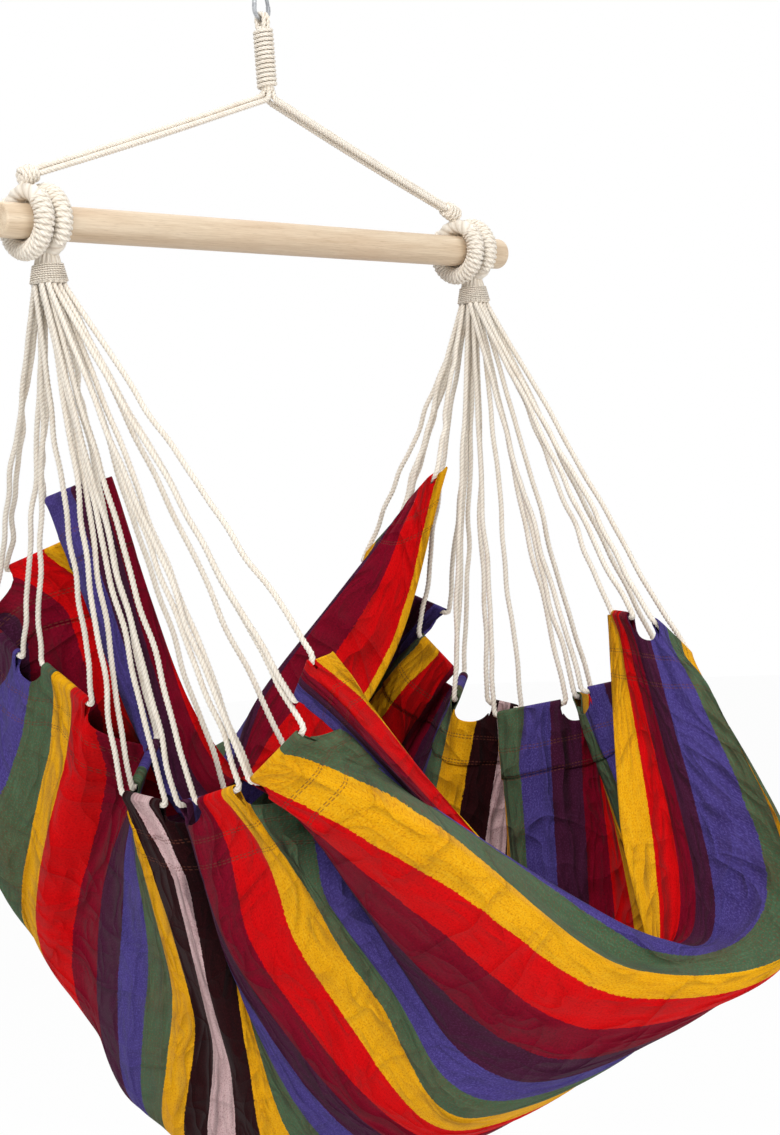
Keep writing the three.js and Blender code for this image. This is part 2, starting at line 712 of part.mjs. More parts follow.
function cordLegs(across, neck) {
  const legs = [];
  for (let index = 0; index < tabCount; index++) {
    const tab = tabAt(index, across);
    [[tab.start, -1], [tab.end, 1]].forEach(([mouth, out], which) => {
      const rise = neck.clone().sub(mouth).normalize();
      const doubling = Math.max(0, -out * rise.dot(tab.axis));
      const reach = Math.max(cordCorner, (tunnelClear * doubling) / Math.sqrt(1 - doubling ** 2));
      const corner = mouth.clone().addScaledVector(tab.axis, out * reach);
      const fall = corner.clone().sub(neck);
      legs.push({ index, which, mouth, corner, fan: Math.atan2(fall.y, -fall.z), lean: fall.x / -fall.z });
    });
  }
  return legs;
}

// Gives each leg its place under the neck, so that no two legs cross
function placeLegs(across, neck) {
  const legs = cordLegs(across, neck);
  const rows = neckPlaces();
  const byFan = [...legs].sort((a, b) => a.fan - b.fan);
  let taken = 0;
  rows.forEach((row) => {
    const share = byFan.slice(taken, taken + row.length).sort((a, b) => a.lean - b.lean);
    share.forEach((leg, k) => {
      leg.top = neck.clone().add(row[k]);
    });
    taken += row.length;
  });
  return legs;
}

function seatCord(legs, index) {
  const [first, second] = legs.filter((leg) => leg.index === index);
  const turn = (leg) => {
    const up = leg.top.clone().sub(leg.corner).normalize();
    const bend = new THREE.QuadraticBezierCurve3(
      leg.corner.clone().addScaledVector(up, cordCorner), leg.corner, leg.mouth.clone().lerp(leg.corner, 0.1),
    );
    const below = leg.top.clone().add(vec(0, 0, -cordLead));
    return [leg.top, below, ...bend.getPoints(3)];
  };
  return tubeThrough([...turn(first), ...turn(second).reverse()], cordDiameter / 2, 6);
}

// Assembly

const chair = new THREE.Group();
chair.name = 'hammock_chair';

chair.add(named('carabiner_frame', hookFrame(), STEEL));
chair.add(named('carabiner_gate', gateGeometry(), STEEL));
chair.add(named('gate_pin', pinGeometry(hingePin / 2, gateRod), STEEL));
chair.add(named('hanging_loop', hangingLoop(), ROPE));
chair.add(named('hanging_whipping', hangingWhipping(), ROPE));

const barGroup = new THREE.Group();
barGroup.position.set(barShift, 0, barZ);
chair.add(barGroup);
barGroup.add(named('spreader_bar', spreaderBar(), WOOD));

const barHalf = barLength / 2;
const harnessEyes = [['left', harnessInsetLeft - barHalf], ['right', barHalf - harnessInsetRight]];
harnessEyes.forEach(([word, eyeX]) => {
  const eye = new THREE.Group();
  eye.position.x = eyeX;
  eye.add(named(`harness_eye_${word}`, harnessEye(eyeX), ROPE));
  eye.add(named(`harness_winding_${word}`, eyeWinding(`harness_winding_${word}`, Math.PI / 2), ROPE));
  barGroup.add(eye);
  for (let index = 0; index < ropeCount; index++) {
    chair.add(named(`harness_rope_${word}_${index + 1}`, harnessRope(eyeX, index), ROPE));
  }
});

const seatEyes = [['left', seatInsetLeft - barHalf, -1], ['right', barHalf - seatInsetRight, 1]];
seatEyes.forEach(([word, eyeX, across]) => {
  const eye = new THREE.Group();
  eye.position.x = eyeX;
  eye.add(named(`seat_eye_${word}`, seatEye(), ROPE));
  eye.add(named(`seat_winding_${word}`, eyeWinding(`seat_winding_${word}`, -Math.PI / 2), ROPE));
  eye.add(named(`neck_collar_${word}`, neckCollar(`neck_collar_${word}`), ROPE));
  barGroup.add(eye);
  const neck = vec(eyeX, 0, -neckBottomDrop - touchGap);
  const legs = placeLegs(across, neck);
  for (let index = 0; index < tabCount; index++) {
    barGroup.add(named(`seat_cord_${word}_${index + 1}`, seatCord(legs, index), ROPE));
  }
});

barGroup.add(named('seat_cloth', seatCloth(), CLOTH));

export default chair;
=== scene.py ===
import math

import bpy
import numpy as np
from mathutils import Matrix, Vector


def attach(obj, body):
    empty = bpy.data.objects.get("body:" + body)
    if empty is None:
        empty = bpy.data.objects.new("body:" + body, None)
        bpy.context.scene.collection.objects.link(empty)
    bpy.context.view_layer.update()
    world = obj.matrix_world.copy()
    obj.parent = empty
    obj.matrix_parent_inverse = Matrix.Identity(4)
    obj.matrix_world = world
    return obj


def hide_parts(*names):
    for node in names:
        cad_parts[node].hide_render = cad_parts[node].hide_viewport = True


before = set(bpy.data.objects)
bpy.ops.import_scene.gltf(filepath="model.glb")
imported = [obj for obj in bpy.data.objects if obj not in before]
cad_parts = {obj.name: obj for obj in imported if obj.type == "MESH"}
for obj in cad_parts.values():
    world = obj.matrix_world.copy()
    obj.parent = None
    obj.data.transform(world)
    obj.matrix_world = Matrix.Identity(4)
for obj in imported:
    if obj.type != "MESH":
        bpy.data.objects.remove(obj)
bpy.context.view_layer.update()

# Everything below is in millimetres, measured from the middle of the spreader bar, as in
# the CAD source's bar group. place() turns it into metres in the row frame.
BAR = np.array([-8.0, 0.0, -312.75])
RNG = np.random.default_rng(41)


def vec(x, y, z):
    return np.array([x, y, z], float)


def unit(v):
    v = np.asarray(v, float)
    return v / np.maximum(np.linalg.norm(v, axis=-1, keepdims=True), 1e-12)


def run_of(points):
    """How far along its run each point lies."""
    steps = np.linalg.norm(np.diff(points, axis=0), axis=1)
    return np.concatenate([[0], np.cumsum(steps)])


def place(points):
    return (np.asarray(points, float) + BAR) * 0.001


# The photo's camera

PHOTO_FOCUS, PHOTO_HEIGHT, SENSOR = 2330, 1135, 36
CAMERA_PLACE = (-1.9027, -1.9715, -0.71615)
turn, dip, roll = math.radians(43.913), math.radians(-0.17), math.radians(4.4)
ahead_flat = vec(math.cos(turn), math.sin(turn), 0)
right_flat = vec(math.sin(turn), -math.cos(turn), 0)
ahead = math.cos(dip) * ahead_flat - math.sin(dip) * vec(0, 0, 1)
lift = math.sin(dip) * ahead_flat + math.cos(dip) * vec(0, 0, 1)
cam_right = math.cos(roll) * right_flat - math.sin(roll) * lift
cam_up = math.sin(roll) * right_flat + math.cos(roll) * lift
camera_data = bpy.data.cameras.new("photo_camera")
camera = bpy.data.objects.new("photo_camera", camera_data)
bpy.context.scene.collection.objects.link(camera)
camera_data.sensor_width = SENSOR
camera_data.lens = PHOTO_FOCUS / PHOTO_HEIGHT * SENSOR
camera_data.clip_start, camera_data.clip_end = 0.05, 60
camera_matrix = Matrix(np.column_stack([cam_right, cam_up, -ahead]).tolist()).to_4x4()
camera_matrix.translation = CAMERA_PLACE
camera.matrix_world = camera_matrix
bpy.context.scene.camera = camera

# The seat's surface, from the same tables as the CAD source

HALF_SPAN, HALF_DEPTH, DROP = 345.0, 300.0, 1000.0
STRIPES, TABS, TAB_SHARE = 41, 11, 0.6
PLEAT_DEPTH, PLEAT_FADE, NOTCH = 78.0, 1.6, 26.0
HEM_LEFT = [
    [-0.755, -0.945, 0.478], [-0.75, -0.84, 0.522], [-0.75, -0.8, 0.566],
    [-0.75, -0.615, 0.603], [-0.75, -0.365, 0.626], [-0.75, -0.1, 0.634],
    [-0.75, 0.165, 0.612], [-0.75, 0.335, 0.5], [-0.75, 0.68, 0.465], [-0.75, 0.9, 0.395],
    [-0.74, 0.48, 0.335], [-0.755, 0.465, 0.288], [-0.75, 0.165, 0.272],
]
HEM_RIGHT = [
    [0.755, -0.75, 0.473], [0.76, -0.895, 0.472], [0.79, -1.04, 0.498], [0.77, -0.95, 0.54],
    [0.76, -0.685, 0.56], [0.755, -0.435, 0.578], [0.755, -0.2, 0.588], [0.755, 0, 0.57],
    [0.755, 0.235, 0.53], [0.754, 0.185, 0.53], [0.759, 0.267, 0.463], [0.759, 0.5, 0.393],
    [0.736, 0.2, 0.32], [0.71, 0.009, 0.275],
]
FOLDS = [
    [0, [-0.1, -0.805, 0.665], [0.395, -1.19, 0.9], [0.57, -0.95, 0.705]],
    [2, [0.04, -0.805, 0.725], [0.5, -1.09, 0.85], [0.735, -1.095, 0.785]],
    [4, [-0.165, -0.815, 0.67], [0.395, -1.255, 0.825], [0.785, -1.235, 0.81]],
    [5, [-0.31, -0.925, 0.655], [0.29, -1.235, 0.845], [0.81, -1.455, 0.8]],
    [6, [-0.445, -1.135, 0.68], [0.23, -1.31, 0.855], [0.74, -1.635, 0.82]],
    [7.5, [-0.405, -1.02, 0.755], [0.195, -1.185, 0.9], [0.71, -1.545, 0.845]],
    [9.5, [-0.355, -0.7, 0.8], [0.155, -0.925, 0.965], [0.73, -1.28, 0.865]],
    [12, [-0.275, -0.605, 0.85], [0.035, -0.64, 1.015], [0.7, -0.935, 0.925]],
    [15, [-0.51, -0.18, 0.84], [0.035, -0.35, 1.06], [0.61, -0.575, 0.96]],
    [19, [-0.44, 0.04, 0.935], [-0.12, 0.145, 1.075], [0.56, -0.18, 0.925]],
    [21, [-0.42, 0.245, 0.895], [-0.19, 0.445, 1.075], [0.565, 0.06, 0.905]],
    [25, [-0.565, 0.695, 0.775], [-0.145, 0.965, 1.045], [0.545, 0.63, 0.875]],
    [28, [-0.51, 1.145, 0.795], [-0.03, 1.155, 0.895], [0.52, 0.965, 0.78]],
    [30, [-0.615, 1.17, 0.71], [0.01, 1.13, 0.79], [0.505, 1.03, 0.685]],
    [33, [-0.61, 0.97, 0.55], [0.05, 0.87, 0.65], [0.48, 0.8, 0.545]],
    [35, [-0.5, 0.455, 0.565], [0.06, 0.52, 0.595], [0.47, 0.44, 0.485]],
    [38, [-0.42, 0.235, 0.665], [0.015, 0.275, 0.53], [0.505, 0.235, 0.39]],
    [41, [-0.375, 0.2, 0.555], [0.065, 0.24, 0.65], [0.575, 0.205, 0.51]],
]
GATHER_LEFT = [
    [0, 0], [2, 0.03], [4.3, 0.085], [5, 0.105], [6, 0.135], [7, 0.175], [9.3, 0.185],
    [11.9, 0.2], [13, 0.215], [14, 0.25], [15, 0.29], [17.5, 0.305], [19.4, 0.32], [20, 0.33],
    [21, 0.37], [23, 0.39], [25, 0.43], [27, 0.5], [28.5, 0.56], [31, 0.64], [33, 0.68],
    [34.3, 0.79], [36.5, 0.86], [41, 1],
]
GATHER_RIGHT = [
    [0, 0], [2.5, 0.05], [5.5, 0.103], [9.5, 0.235], [12, 0.29], [16, 0.345], [18, 0.42],
    [22, 0.475], [25.3, 0.55], [28, 0.62], [31, 0.7], [34.5, 0.82], [37.6, 0.92], [38.3, 0.93],
    [41, 1],
]
PLEAT_LEFT = [
    [0, 0.35], [0.8, 0], [3, 0], [3.8, 0.5], [4.47, 0.1], [5, 0], [7.2, 0], [10.6, 1],
    [11.7, 0], [15, 0], [18.1, 1], [19.3, 0], [21.7, 0], [25.6, 1], [26.7, 0], [29.2, 0],
    [33, 0], [34.2, 0], [36, 0.7], [38.5, 0.1], [41, 0.35],
]
PLEAT_RIGHT = [
    [0, 0.35], [3, 0], [8, 1], [11, 0], [14, 1], [17.3, 0], [20.3, 1], [23.3, 0],
    [26, 1], [28.5, 0], [31, 1], [33.5, 0], [36.5, 0.1], [39.5, 0], [41, 0.35],
]


def smooth_through(pairs, place_at):
    """Steady cubic through [place, value] pairs that never overshoots them."""
    rises = [(b[1] - a[1]) / (b[0] - a[0]) for a, b in zip(pairs, pairs[1:])]
    slopes = [rises[0]]
    for before, after in zip(rises, rises[1:]):
        slopes.append(0 if before * after <= 0 else 2 * before * after / (before + after))
    slopes.append(rises[-1])
    i = 0
    while i < len(pairs) - 2 and place_at > pairs[i + 1][0]:
        i += 1
    width = pairs[i + 1][0] - pairs[i][0]
    t = min(max((place_at - pairs[i][0]) / width, 0), 1)
    start = (1 + 2 * t) * (1 - t) ** 2 * pairs[i][1] + t * (1 - t) ** 2 * width * slopes[i]
    end = t * t * (3 - 2 * t) * pairs[i + 1][1] + t * t * (t - 1) * width * slopes[i + 1]
    return start + end


def catmull(points, t):
    """Catmull-Rom curve through points at shares t of its run, as in the CAD source."""
    points = np.asarray(points, float)
    t = np.atleast_1d(np.asarray(t, float))
    last = len(points) - 1
    spot = np.clip(t, 0, 1) * last
    i = np.minimum(np.floor(spot).astype(int), last - 1)
    w = (spot - i)[:, None]
    padded = np.vstack([2 * points[0] - points[1], points, 2 * points[-1] - points[-2]])
    p0, p1, p2, p3 = (padded[i + k] for k in range(4))
    m1, m2 = 0.5 * (p2 - p0), 0.5 * (p3 - p1)
    return (p1 + m1 * w + (-3 * p1 + 3 * p2 - 2 * m1 - m2) * w ** 2
            + (2 * p1 - 2 * p2 + m1 + m2) * w ** 3)


def net(shares):
    return vec(shares[0] * HALF_SPAN, shares[1] * HALF_DEPTH, -shares[2] * DROP)


class Hem:
    def __init__(self, shares, gather):
        self.points = [net(s) for s in shares]
        self.gather = gather
        self.marks = np.linspace(0, 1, 201)
        self.lengths = run_of(catmull(self.points, self.marks))

    def at(self, stripe):
        share = smooth_through(self.gather, stripe) * self.lengths[-1]
        return catmull(self.points, np.interp(share, self.lengths, self.marks))[0]


hem_left, hem_right = Hem(HEM_LEFT, GATHER_LEFT), Hem(HEM_RIGHT, GATHER_RIGHT)


def pleat_at(stripe, pairs):
    i = 0
    while i < len(pairs) - 2 and stripe > pairs[i + 1][0]:
        i += 1
    (a, before), (b, after) = pairs[i], pairs[i + 1]
    return before + (after - before) * (1 - math.cos(math.pi * (stripe - a) / (b - a))) / 2


def cloth_line(stripe, across):
    """Points of the cloth's middle surface along one line of it, from the left hem at
    across -1 to the right hem at 1."""
    across = np.atleast_1d(np.asarray(across, float))
    inner = [
        net([smooth_through([[row[0], row[c][k]] for row in FOLDS], stripe) for k in range(3)])
        for c in (1, 2, 3)
    ]
    points = catmull([hem_left.at(stripe), *inner, hem_right.at(stripe)], (across + 1) / 2)
    pleat = np.where(across < 0, pleat_at(stripe, PLEAT_LEFT), pleat_at(stripe, PLEAT_RIGHT))
    points[:, 0] += PLEAT_DEPTH * pleat * np.abs(across) ** PLEAT_FADE
    return points


TAB_STRIPES = STRIPES / TABS
HALF_TAB = TAB_STRIPES * TAB_SHARE / 2
CORD_D, TUNNEL_GAP, TUNNEL_WALL = 6.0, 0.65, 1.8
TUNNEL_OUTER = (CORD_D / 2 + TUNNEL_GAP + TUNNEL_WALL) / math.cos(math.pi / 6)


def tab_at(index, side):
    middle = TAB_STRIPES * (index + 0.5)
    start = cloth_line(middle - HALF_TAB, side)[0]
    end = cloth_line(middle + HALF_TAB, side)[0]
    return start, end, unit(end - start)


# Materials

def srgb(r, g, b):
    def one(v):
        v /= 255
        return v / 12.92 if v <= 0.04045 else ((v + 0.055) / 1.055) ** 2.4
    return (one(r), one(g), one(b), 1.0)


class Nodes:
    """A node tree with short ways to add nodes and links."""

    def __init__(self, tree):
        self.tree = tree

    def feed(self, socket, value):
        if isinstance(value, bpy.types.NodeSocket):
            self.tree.links.new(value, socket)
        else:
            socket.default_value = value

    def add(self, kind, inputs=None, **props):
        node = self.tree.nodes.new("ShaderNode" + kind)
        for key, value in props.items():
            setattr(node, key, value)
        for key, value in (inputs or {}).items():
            self.feed(node.inputs[key], value)
        return node

    def math(self, operation, a, b=None):
        inputs = {0: a} if b is None else {0: a, 1: b}
        return self.add("Math", inputs, operation=operation).outputs[0]

    def times(self, a, b):
        return self.math("MULTIPLY", a, b)

    def plus(self, a, b):
        return self.math("ADD", a, b)

    def minus(self, a, b):
        return self.math("SUBTRACT", a, b)

    def noise(self, vector, scale, detail=2.0, rough=0.5):
        inputs = {"Vector": vector, "Scale": scale, "Detail": detail, "Roughness": rough}
        return self.add("TexNoise", inputs).outputs[0]

    def spread(self, vector, x, y, z):
        return self.add("Mapping", {"Vector": vector, "Scale": (x, y, z)}).outputs[0]

    def remap(self, value, low, high, to_low=0.0, to_high=1.0):
        node = self.add("MapRange", {0: value, 1: low, 2: high, 3: to_low, 4: to_high})
        return node.outputs[0]

    def mix(self, factor, a, b):
        node = self.add("Mix", data_type="RGBA", blend_type="MIX")
        for index, value in ((0, factor), (6, a), (7, b)):
            self.feed(node.inputs[index], value)
        return node.outputs[2]

    def ramp(self, value, stops, mode="LINEAR"):
        node = self.add("ValToRGB", {0: value})
        bar = node.color_ramp
        bar.interpolation = mode
        while len(bar.elements) > 1:
            bar.elements.remove(bar.elements[-1])
        bar.elements[0].position, bar.elements[0].color = stops[0]
        for spot, colour in stops[1:]:
            bar.elements.new(spot).color = colour
        return node.outputs[0]

    def bump(self, height, depth, strength, under=None):
        inputs = {"Height": height, "Distance": depth, "Strength": strength}
        if under is not None:
            inputs["Normal"] = under
        return self.add("Bump", inputs).outputs[0]

    def plain_view(self):
        """1 for the rays that show a thing itself or its mirror image, else 0."""
        rays = self.add("LightPath").outputs
        return self.math("MAXIMUM", rays["Is Camera Ray"], rays["Is Glossy Ray"])


class Look(Nodes):
    """A material made of nodes."""

    def __init__(self, name):
        self.mat = bpy.data.materials.new(name)
        self.mat.use_nodes = True
        super().__init__(self.mat.node_tree)
        self.shader = self.tree.nodes["Principled BSDF"]

    def out(self, **sockets):
        names = {"base": "Base Color", "rough": "Roughness", "metal": "Metallic",
                 "normal": "Normal", "sheen": "Sheen Weight", "sheen_rough": "Sheen Roughness",
                 "specular": "Specular IOR Level"}
        for key, value in sockets.items():
            self.feed(self.shader.inputs[names[key]], value)
        return self.mat


def rope_look(name, pale, mid, dark, strands=3):
    """Twisted cotton cord, whose grooves between the strands are darkened with painted shade. Its
    UV map runs round the cord across and along it up, in metres along, and turns with the strands."""
    look = Look(name)
    uv = look.add("UVMap", uv_map="cord_uv").outputs[0]
    parts = look.add("SeparateXYZ", {0: uv})
    around = look.times(parts.outputs[0], float(strands))
    groove = look.math("PINGPONG", around, 0.5)
    groove_shade = look.remap(groove, 0.2, 0.5)
    groove_shade = look.math("POWER", groove_shade, 1.4)
    object_place = look.add("TexCoord").outputs["Object"]
    blotch = look.noise(object_place, 45.0, 3.0)
    fuzz = look.noise(object_place, 1500.0, 2.0, 0.6)
    yarn_place = look.add("CombineXYZ", {0: look.times(around, 6.0),
                                         1: look.times(parts.outputs[1], 260.0)}).outputs[0]
    yarn = look.noise(yarn_place, 1.0, 1.0)
    tone = look.plus(look.times(blotch, 0.6), look.times(yarn, 0.4))
    colour = look.ramp(tone, [(0.28, mid), (0.5, pale), (0.8, pale)])
    # Painted shade: the grooves between the strands are mixed towards the dark colour.
    colour = look.mix(look.times(groove_shade, 0.5), colour, dark)
    colour = look.mix(look.remap(fuzz, 0.56, 0.72, 0.0, 0.35), colour, mid)
    height = look.plus(look.times(yarn, 0.7), look.times(fuzz, 0.6))
    normal = look.bump(height, 0.0005, 0.55)
    return look.out(base=colour, rough=0.92, normal=normal, sheen=0.25, sheen_rough=0.5,
                    specular=0.25)


# The third colour of each cord is the painted shade in the grooves between its strands.
ROPE = rope_look("cotton_cord", srgb(248, 240, 227), srgb(232, 219, 202), srgb(178, 158, 134))
FINE = rope_look("fine_cord", srgb(248, 238, 223), srgb(232, 217, 198), srgb(186, 166, 142), 2)


def wood_look():
    look = Look("turned_pale_wood")
    at = look.add("TexCoord").outputs["Object"]
    long_grain = look.noise(look.spread(at, 4.0, 90.0, 90.0), 1.0, 5.0, 0.6)
    fine_grain = look.noise(look.spread(at, 26.0, 900.0, 900.0), 1.0, 3.0, 0.6)
    pores = look.noise(look.spread(at, 60.0, 2200.0, 2200.0), 1.0, 1.0)
    broad = look.noise(look.spread(at, 5.0, 14.0, 14.0), 1.0, 2.0)
    tone = look.plus(look.times(long_grain, 0.55), look.times(fine_grain, 0.45))
    colour = look.ramp(tone, [(0.3, srgb(190, 164, 134)), (0.46, srgb(212, 190, 162)),
                              (0.6, srgb(225, 206, 180)), (0.75, srgb(234, 219, 198))])
    colour = look.mix(look.remap(broad, 0.4, 0.7, 0.0, 0.35), colour, srgb(204, 172, 140))
    colour = look.mix(look.remap(pores, 0.62, 0.74, 0.0, 0.45), colour, srgb(150, 120, 92))
    normal = look.bump(fine_grain, 0.0004, 0.25)
    rough = look.remap(long_grain, 0.3, 0.7, 0.42, 0.6)
    return look.out(base=colour, rough=rough, normal=normal, specular=0.4)


WOOD = wood_look()


def steel_look():
    look = Look("brushed_steel_rod")
    at = look.add("TexCoord").outputs["Object"]
    scratches = look.noise(look.spread(at, 900.0, 900.0, 90.0), 1.0, 3.0, 0.6)
    cloud = look.noise(at, 120.0, 3.0)
    colour = look.ramp(cloud, [(0.3, srgb(150, 152, 156)), (0.7, srgb(196, 198, 200))])
    rough = look.remap(scratches, 0.3, 0.7, 0.2, 0.42)
    normal = look.bump(scratches, 0.0002, 0.2)
    return look.out(base=colour, rough=rough, metal=1.0, normal=normal)


STEEL = steel_look()

YELLOW, RED, MAROON, PLUM = srgb(230, 166, 10), srgb(208, 2, 8), srgb(124, 2, 30), srgb(58, 16, 40)
BLUE, GREEN, PINK, BLACK = srgb(58, 46, 108), srgb(60, 94, 68), srgb(212, 180, 180), srgb(30, 6, 8)
# Each stripe's fleck colour, which also serves as the painted shade along the cloth's creases.
FLECK_AND_CREASE_SHADE = {
    YELLOW: srgb(190, 112, 8), RED: srgb(166, 0, 6), MAROON: srgb(82, 2, 26),
    PLUM: srgb(88, 40, 72), BLUE: srgb(96, 84, 160), GREEN: srgb(108, 66, 48),
    PINK: srgb(150, 96, 104), BLACK: srgb(54, 16, 20),
}
LIGHTS = {
    YELLOW: srgb(240, 192, 44), RED: srgb(226, 16, 16), MAROON: srgb(144, 12, 44),
    PLUM: srgb(72, 26, 54), BLUE: srgb(84, 74, 140), GREEN: srgb(88, 124, 92),
    PINK: srgb(230, 208, 206), BLACK: srgb(44, 12, 16),
}


def stripe_stops(palette):
    order = [PINK, BLACK, YELLOW] + [GREEN, BLUE, PLUM, MAROON, RED, YELLOW] * 3
    spots = [0] + [k + 0.5 for k in range(20)]
    return [(spot / 21, palette(colour)) for spot, colour in zip(spots, order)]


STRIPE_MM, WARP_MM, WEFT_MM, STITCH_MM = 39.5, 1.3, 1.9, 4.6
# Metres from the hem to each row of stitches that holds its allowance
STITCH_ROWS = (0.0418, 0.0452, 0.0732, 0.0766)
# Creases of the cloth: how often a metre holds one across and along the stripes, how
# sharp, and how deep
CREASES = ((16.0, 4.0, 5.0, 1.0), (38.0, 12.0, 4.0, 0.4), (9.0, 17.0, 6.0, 0.5))


def waves_a_metre(length_mm):
    return 2 * math.pi * 1000 / length_mm


def cloth_look():
    look = Look("striped_cotton")
    uv = look.add("UVMap", uv_map="cloth_uv").outputs[0]
    hem = look.add("UVMap", uv_map="hem_uv").outputs[0]
    parts = look.add("SeparateXYZ", {0: uv})
    u, v = parts.outputs[0], parts.outputs[1]
    # Warp threads run along the stripes, so colour wavers along them only a little
    wander = look.noise(look.spread(uv, 60.0, 22.0, 1.0), 1.0, 2.0)
    tooth = look.noise(look.spread(uv, 700.0, 260.0, 1.0), 1.0, 1.0)
    shift = look.plus(look.times(look.minus(wander, 0.5), 0.10),
                      look.times(look.minus(tooth, 0.5), 0.07))
    stripe = look.plus(look.times(u, 1000.0 / STRIPE_MM), shift)
    k = look.math("DIVIDE", look.math("ABSOLUTE", look.minus(stripe, 20.5)), 21.0)
    base = look.ramp(k, stripe_stops(lambda c: c), "CONSTANT")
    fleck_and_crease_shade = look.ramp(k, stripe_stops(lambda c: FLECK_AND_CREASE_SHADE[c]), "CONSTANT")
    light = look.ramp(k, stripe_stops(lambda c: LIGHTS[c]), "CONSTANT")
    weave_u = look.math("SINE", look.times(u, waves_a_metre(WARP_MM)))
    weave_v = look.math("SINE", look.times(v, waves_a_metre(WEFT_MM)))
    rib = look.times(weave_u, weave_v)
    dark_spots = look.noise(look.spread(uv, 620.0, 420.0, 1.0), 1.0, 1.5, 0.6)
    pale_spots = look.noise(look.spread(uv, 540.0, 380.0, 3.0), 1.0, 1.5, 0.6)
    slubs = look.noise(look.spread(uv, 420.0, 26.0, 1.0), 1.0, 2.0, 0.6)
    colour = look.mix(look.remap(dark_spots, 0.5, 0.66, 0.0, 0.7), base, fleck_and_crease_shade)
    colour = look.mix(look.remap(pale_spots, 0.52, 0.7, 0.0, 0.6), colour, light)
    colour = look.mix(look.remap(slubs, 0.5, 0.75, 0.0, 0.45), colour, light)
    colour = look.mix(look.remap(rib, -1.0, 1.0, 0.16, 0.0), colour, fleck_and_crease_shade)
    reach = look.add("SeparateXYZ", {0: hem}).outputs[0]
    rows = None
    for spot in STITCH_ROWS:
        off = look.math("ABSOLUTE", look.minus(reach, spot))
        row = look.remap(off, 0.0005, 0.0009, 1.0, 0.0)
        rows = row if rows is None else look.math("MAXIMUM", rows, row)
    dash = look.math("SINE", look.times(u, waves_a_metre(STITCH_MM)))
    thread = look.times(rows, look.remap(dash, -0.55, -0.2))
    colour = look.mix(look.times(thread, 0.6), colour, srgb(110, 62, 48))
    height = look.plus(look.times(rib, 0.25), look.times(slubs, 1.0))
    height = look.plus(height, look.times(dark_spots, 0.7))
    height = look.plus(height, look.times(rows, -1.2))
    creases = None
    for across, length, sharp, share in CREASES:
        stretched = look.spread(uv, across, length, 1.0)
        drift = look.add("TexNoise", {"Vector": uv, "Scale": 7.0}).outputs[1]
        bent = look.add("VectorMath", {0: stretched, 1: drift}, operation="ADD").outputs[0]
        ridge = look.math("ABSOLUTE", look.minus(look.noise(bent, 1.0, 1.0), 0.5))
        ridge = look.math("POWER", look.minus(1.0, look.times(ridge, 2.0)), sharp)
        ridge = look.times(ridge, share)
        creases = ridge if creases is None else look.plus(creases, ridge)
    # Painted shade: the cloth is darkened towards the fleck colour along its creases.
    colour = look.mix(look.remap(creases, 0.7, 1.7, 0.0, 0.22), colour, fleck_and_crease_shade)
    folded = look.bump(creases, 0.014, 0.8)
    normal = look.bump(height, 0.0006, 0.6, folded)
    return look.out(base=colour, rough=0.92, normal=normal, sheen=0.03, sheen_rough=0.5,
                    specular=0.08)


CLOTH = cloth_look()

# Mesh helpers


def add_mesh(name, verts, faces, material, uvs=None):
    """An object from points in millimetres of the bar frame. uvs holds each UV map's
    values per face corner."""
    mesh = bpy.data.meshes.new(name)
    mesh.from_pydata(place(verts).tolist(), [], faces)
    for layer_name, values in (uvs or {}).items():
        layer = mesh.uv_layers.new(name=layer_name)
        layer.data.foreach_set("uv", np.asarray(values, np.float32).ravel())
    mesh.polygons.foreach_set("use_smooth", [True] * len(mesh.polygons))
    mesh.materials.append(material)
    mesh.validate()
    mesh.update()
    obj = bpy.data.objects.new(name, mesh)
    bpy.context.scene.collection.objects.link(obj)
    return obj


def dress(obj, body, slot, *nodes):
    """Tells the frame what an object rides on and what it shows; slot, what it is made of, is not
    used.
    """
    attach(obj, body)
    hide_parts(*nodes)
    return obj


def ring_faces(rings, sides):
    """Quads between rings of points, ring by ring, and a cap at each end."""
    faces = []
    for i in range(rings - 1):
        for k in range(sides):
            a, b = i * sides + k, i * sides + (k + 1) % sides
            faces.append([a, b, b + sides, a + sides])
    faces.append(list(range(sides))[::-1])
    faces.append(list(range((rings - 1) * sides, rings * sides)))
    return faces


def resample(points, step):
    points = np.asarray(points, float)
    steps = np.linalg.norm(np.diff(points, axis=0), axis=1)
    points = points[np.concatenate([[True], steps > 1e-6])]
    along = run_of(points)
    count = max(4, int(round(along[-1] / step)) + 1)
    marks = np.linspace(0, along[-1], count)
    return np.column_stack([np.interp(marks, along, points[:, k]) for k in range(3)]), marks


def tangents_of(points):
    ahead = np.vstack([points[1:] - points[:-1], points[-1:] - points[-2:-1]])
    back = np.vstack([points[1:2] - points[:1], points[1:] - points[:-1]])
    return unit(unit(ahead) + unit(back))


def carried_normals(points, tangents):
    first = tangents[0]
    side = np.cross(vec(0, 0, 1) if abs(first[2]) < 0.9 else vec(0, 1, 0), first)
    sides = np.empty_like(points)
    for i, tangent in enumerate(tangents):
        side = side - tangent * (side @ tangent)
        side = side / np.linalg.norm(side)
        sides[i] = side
    return sides


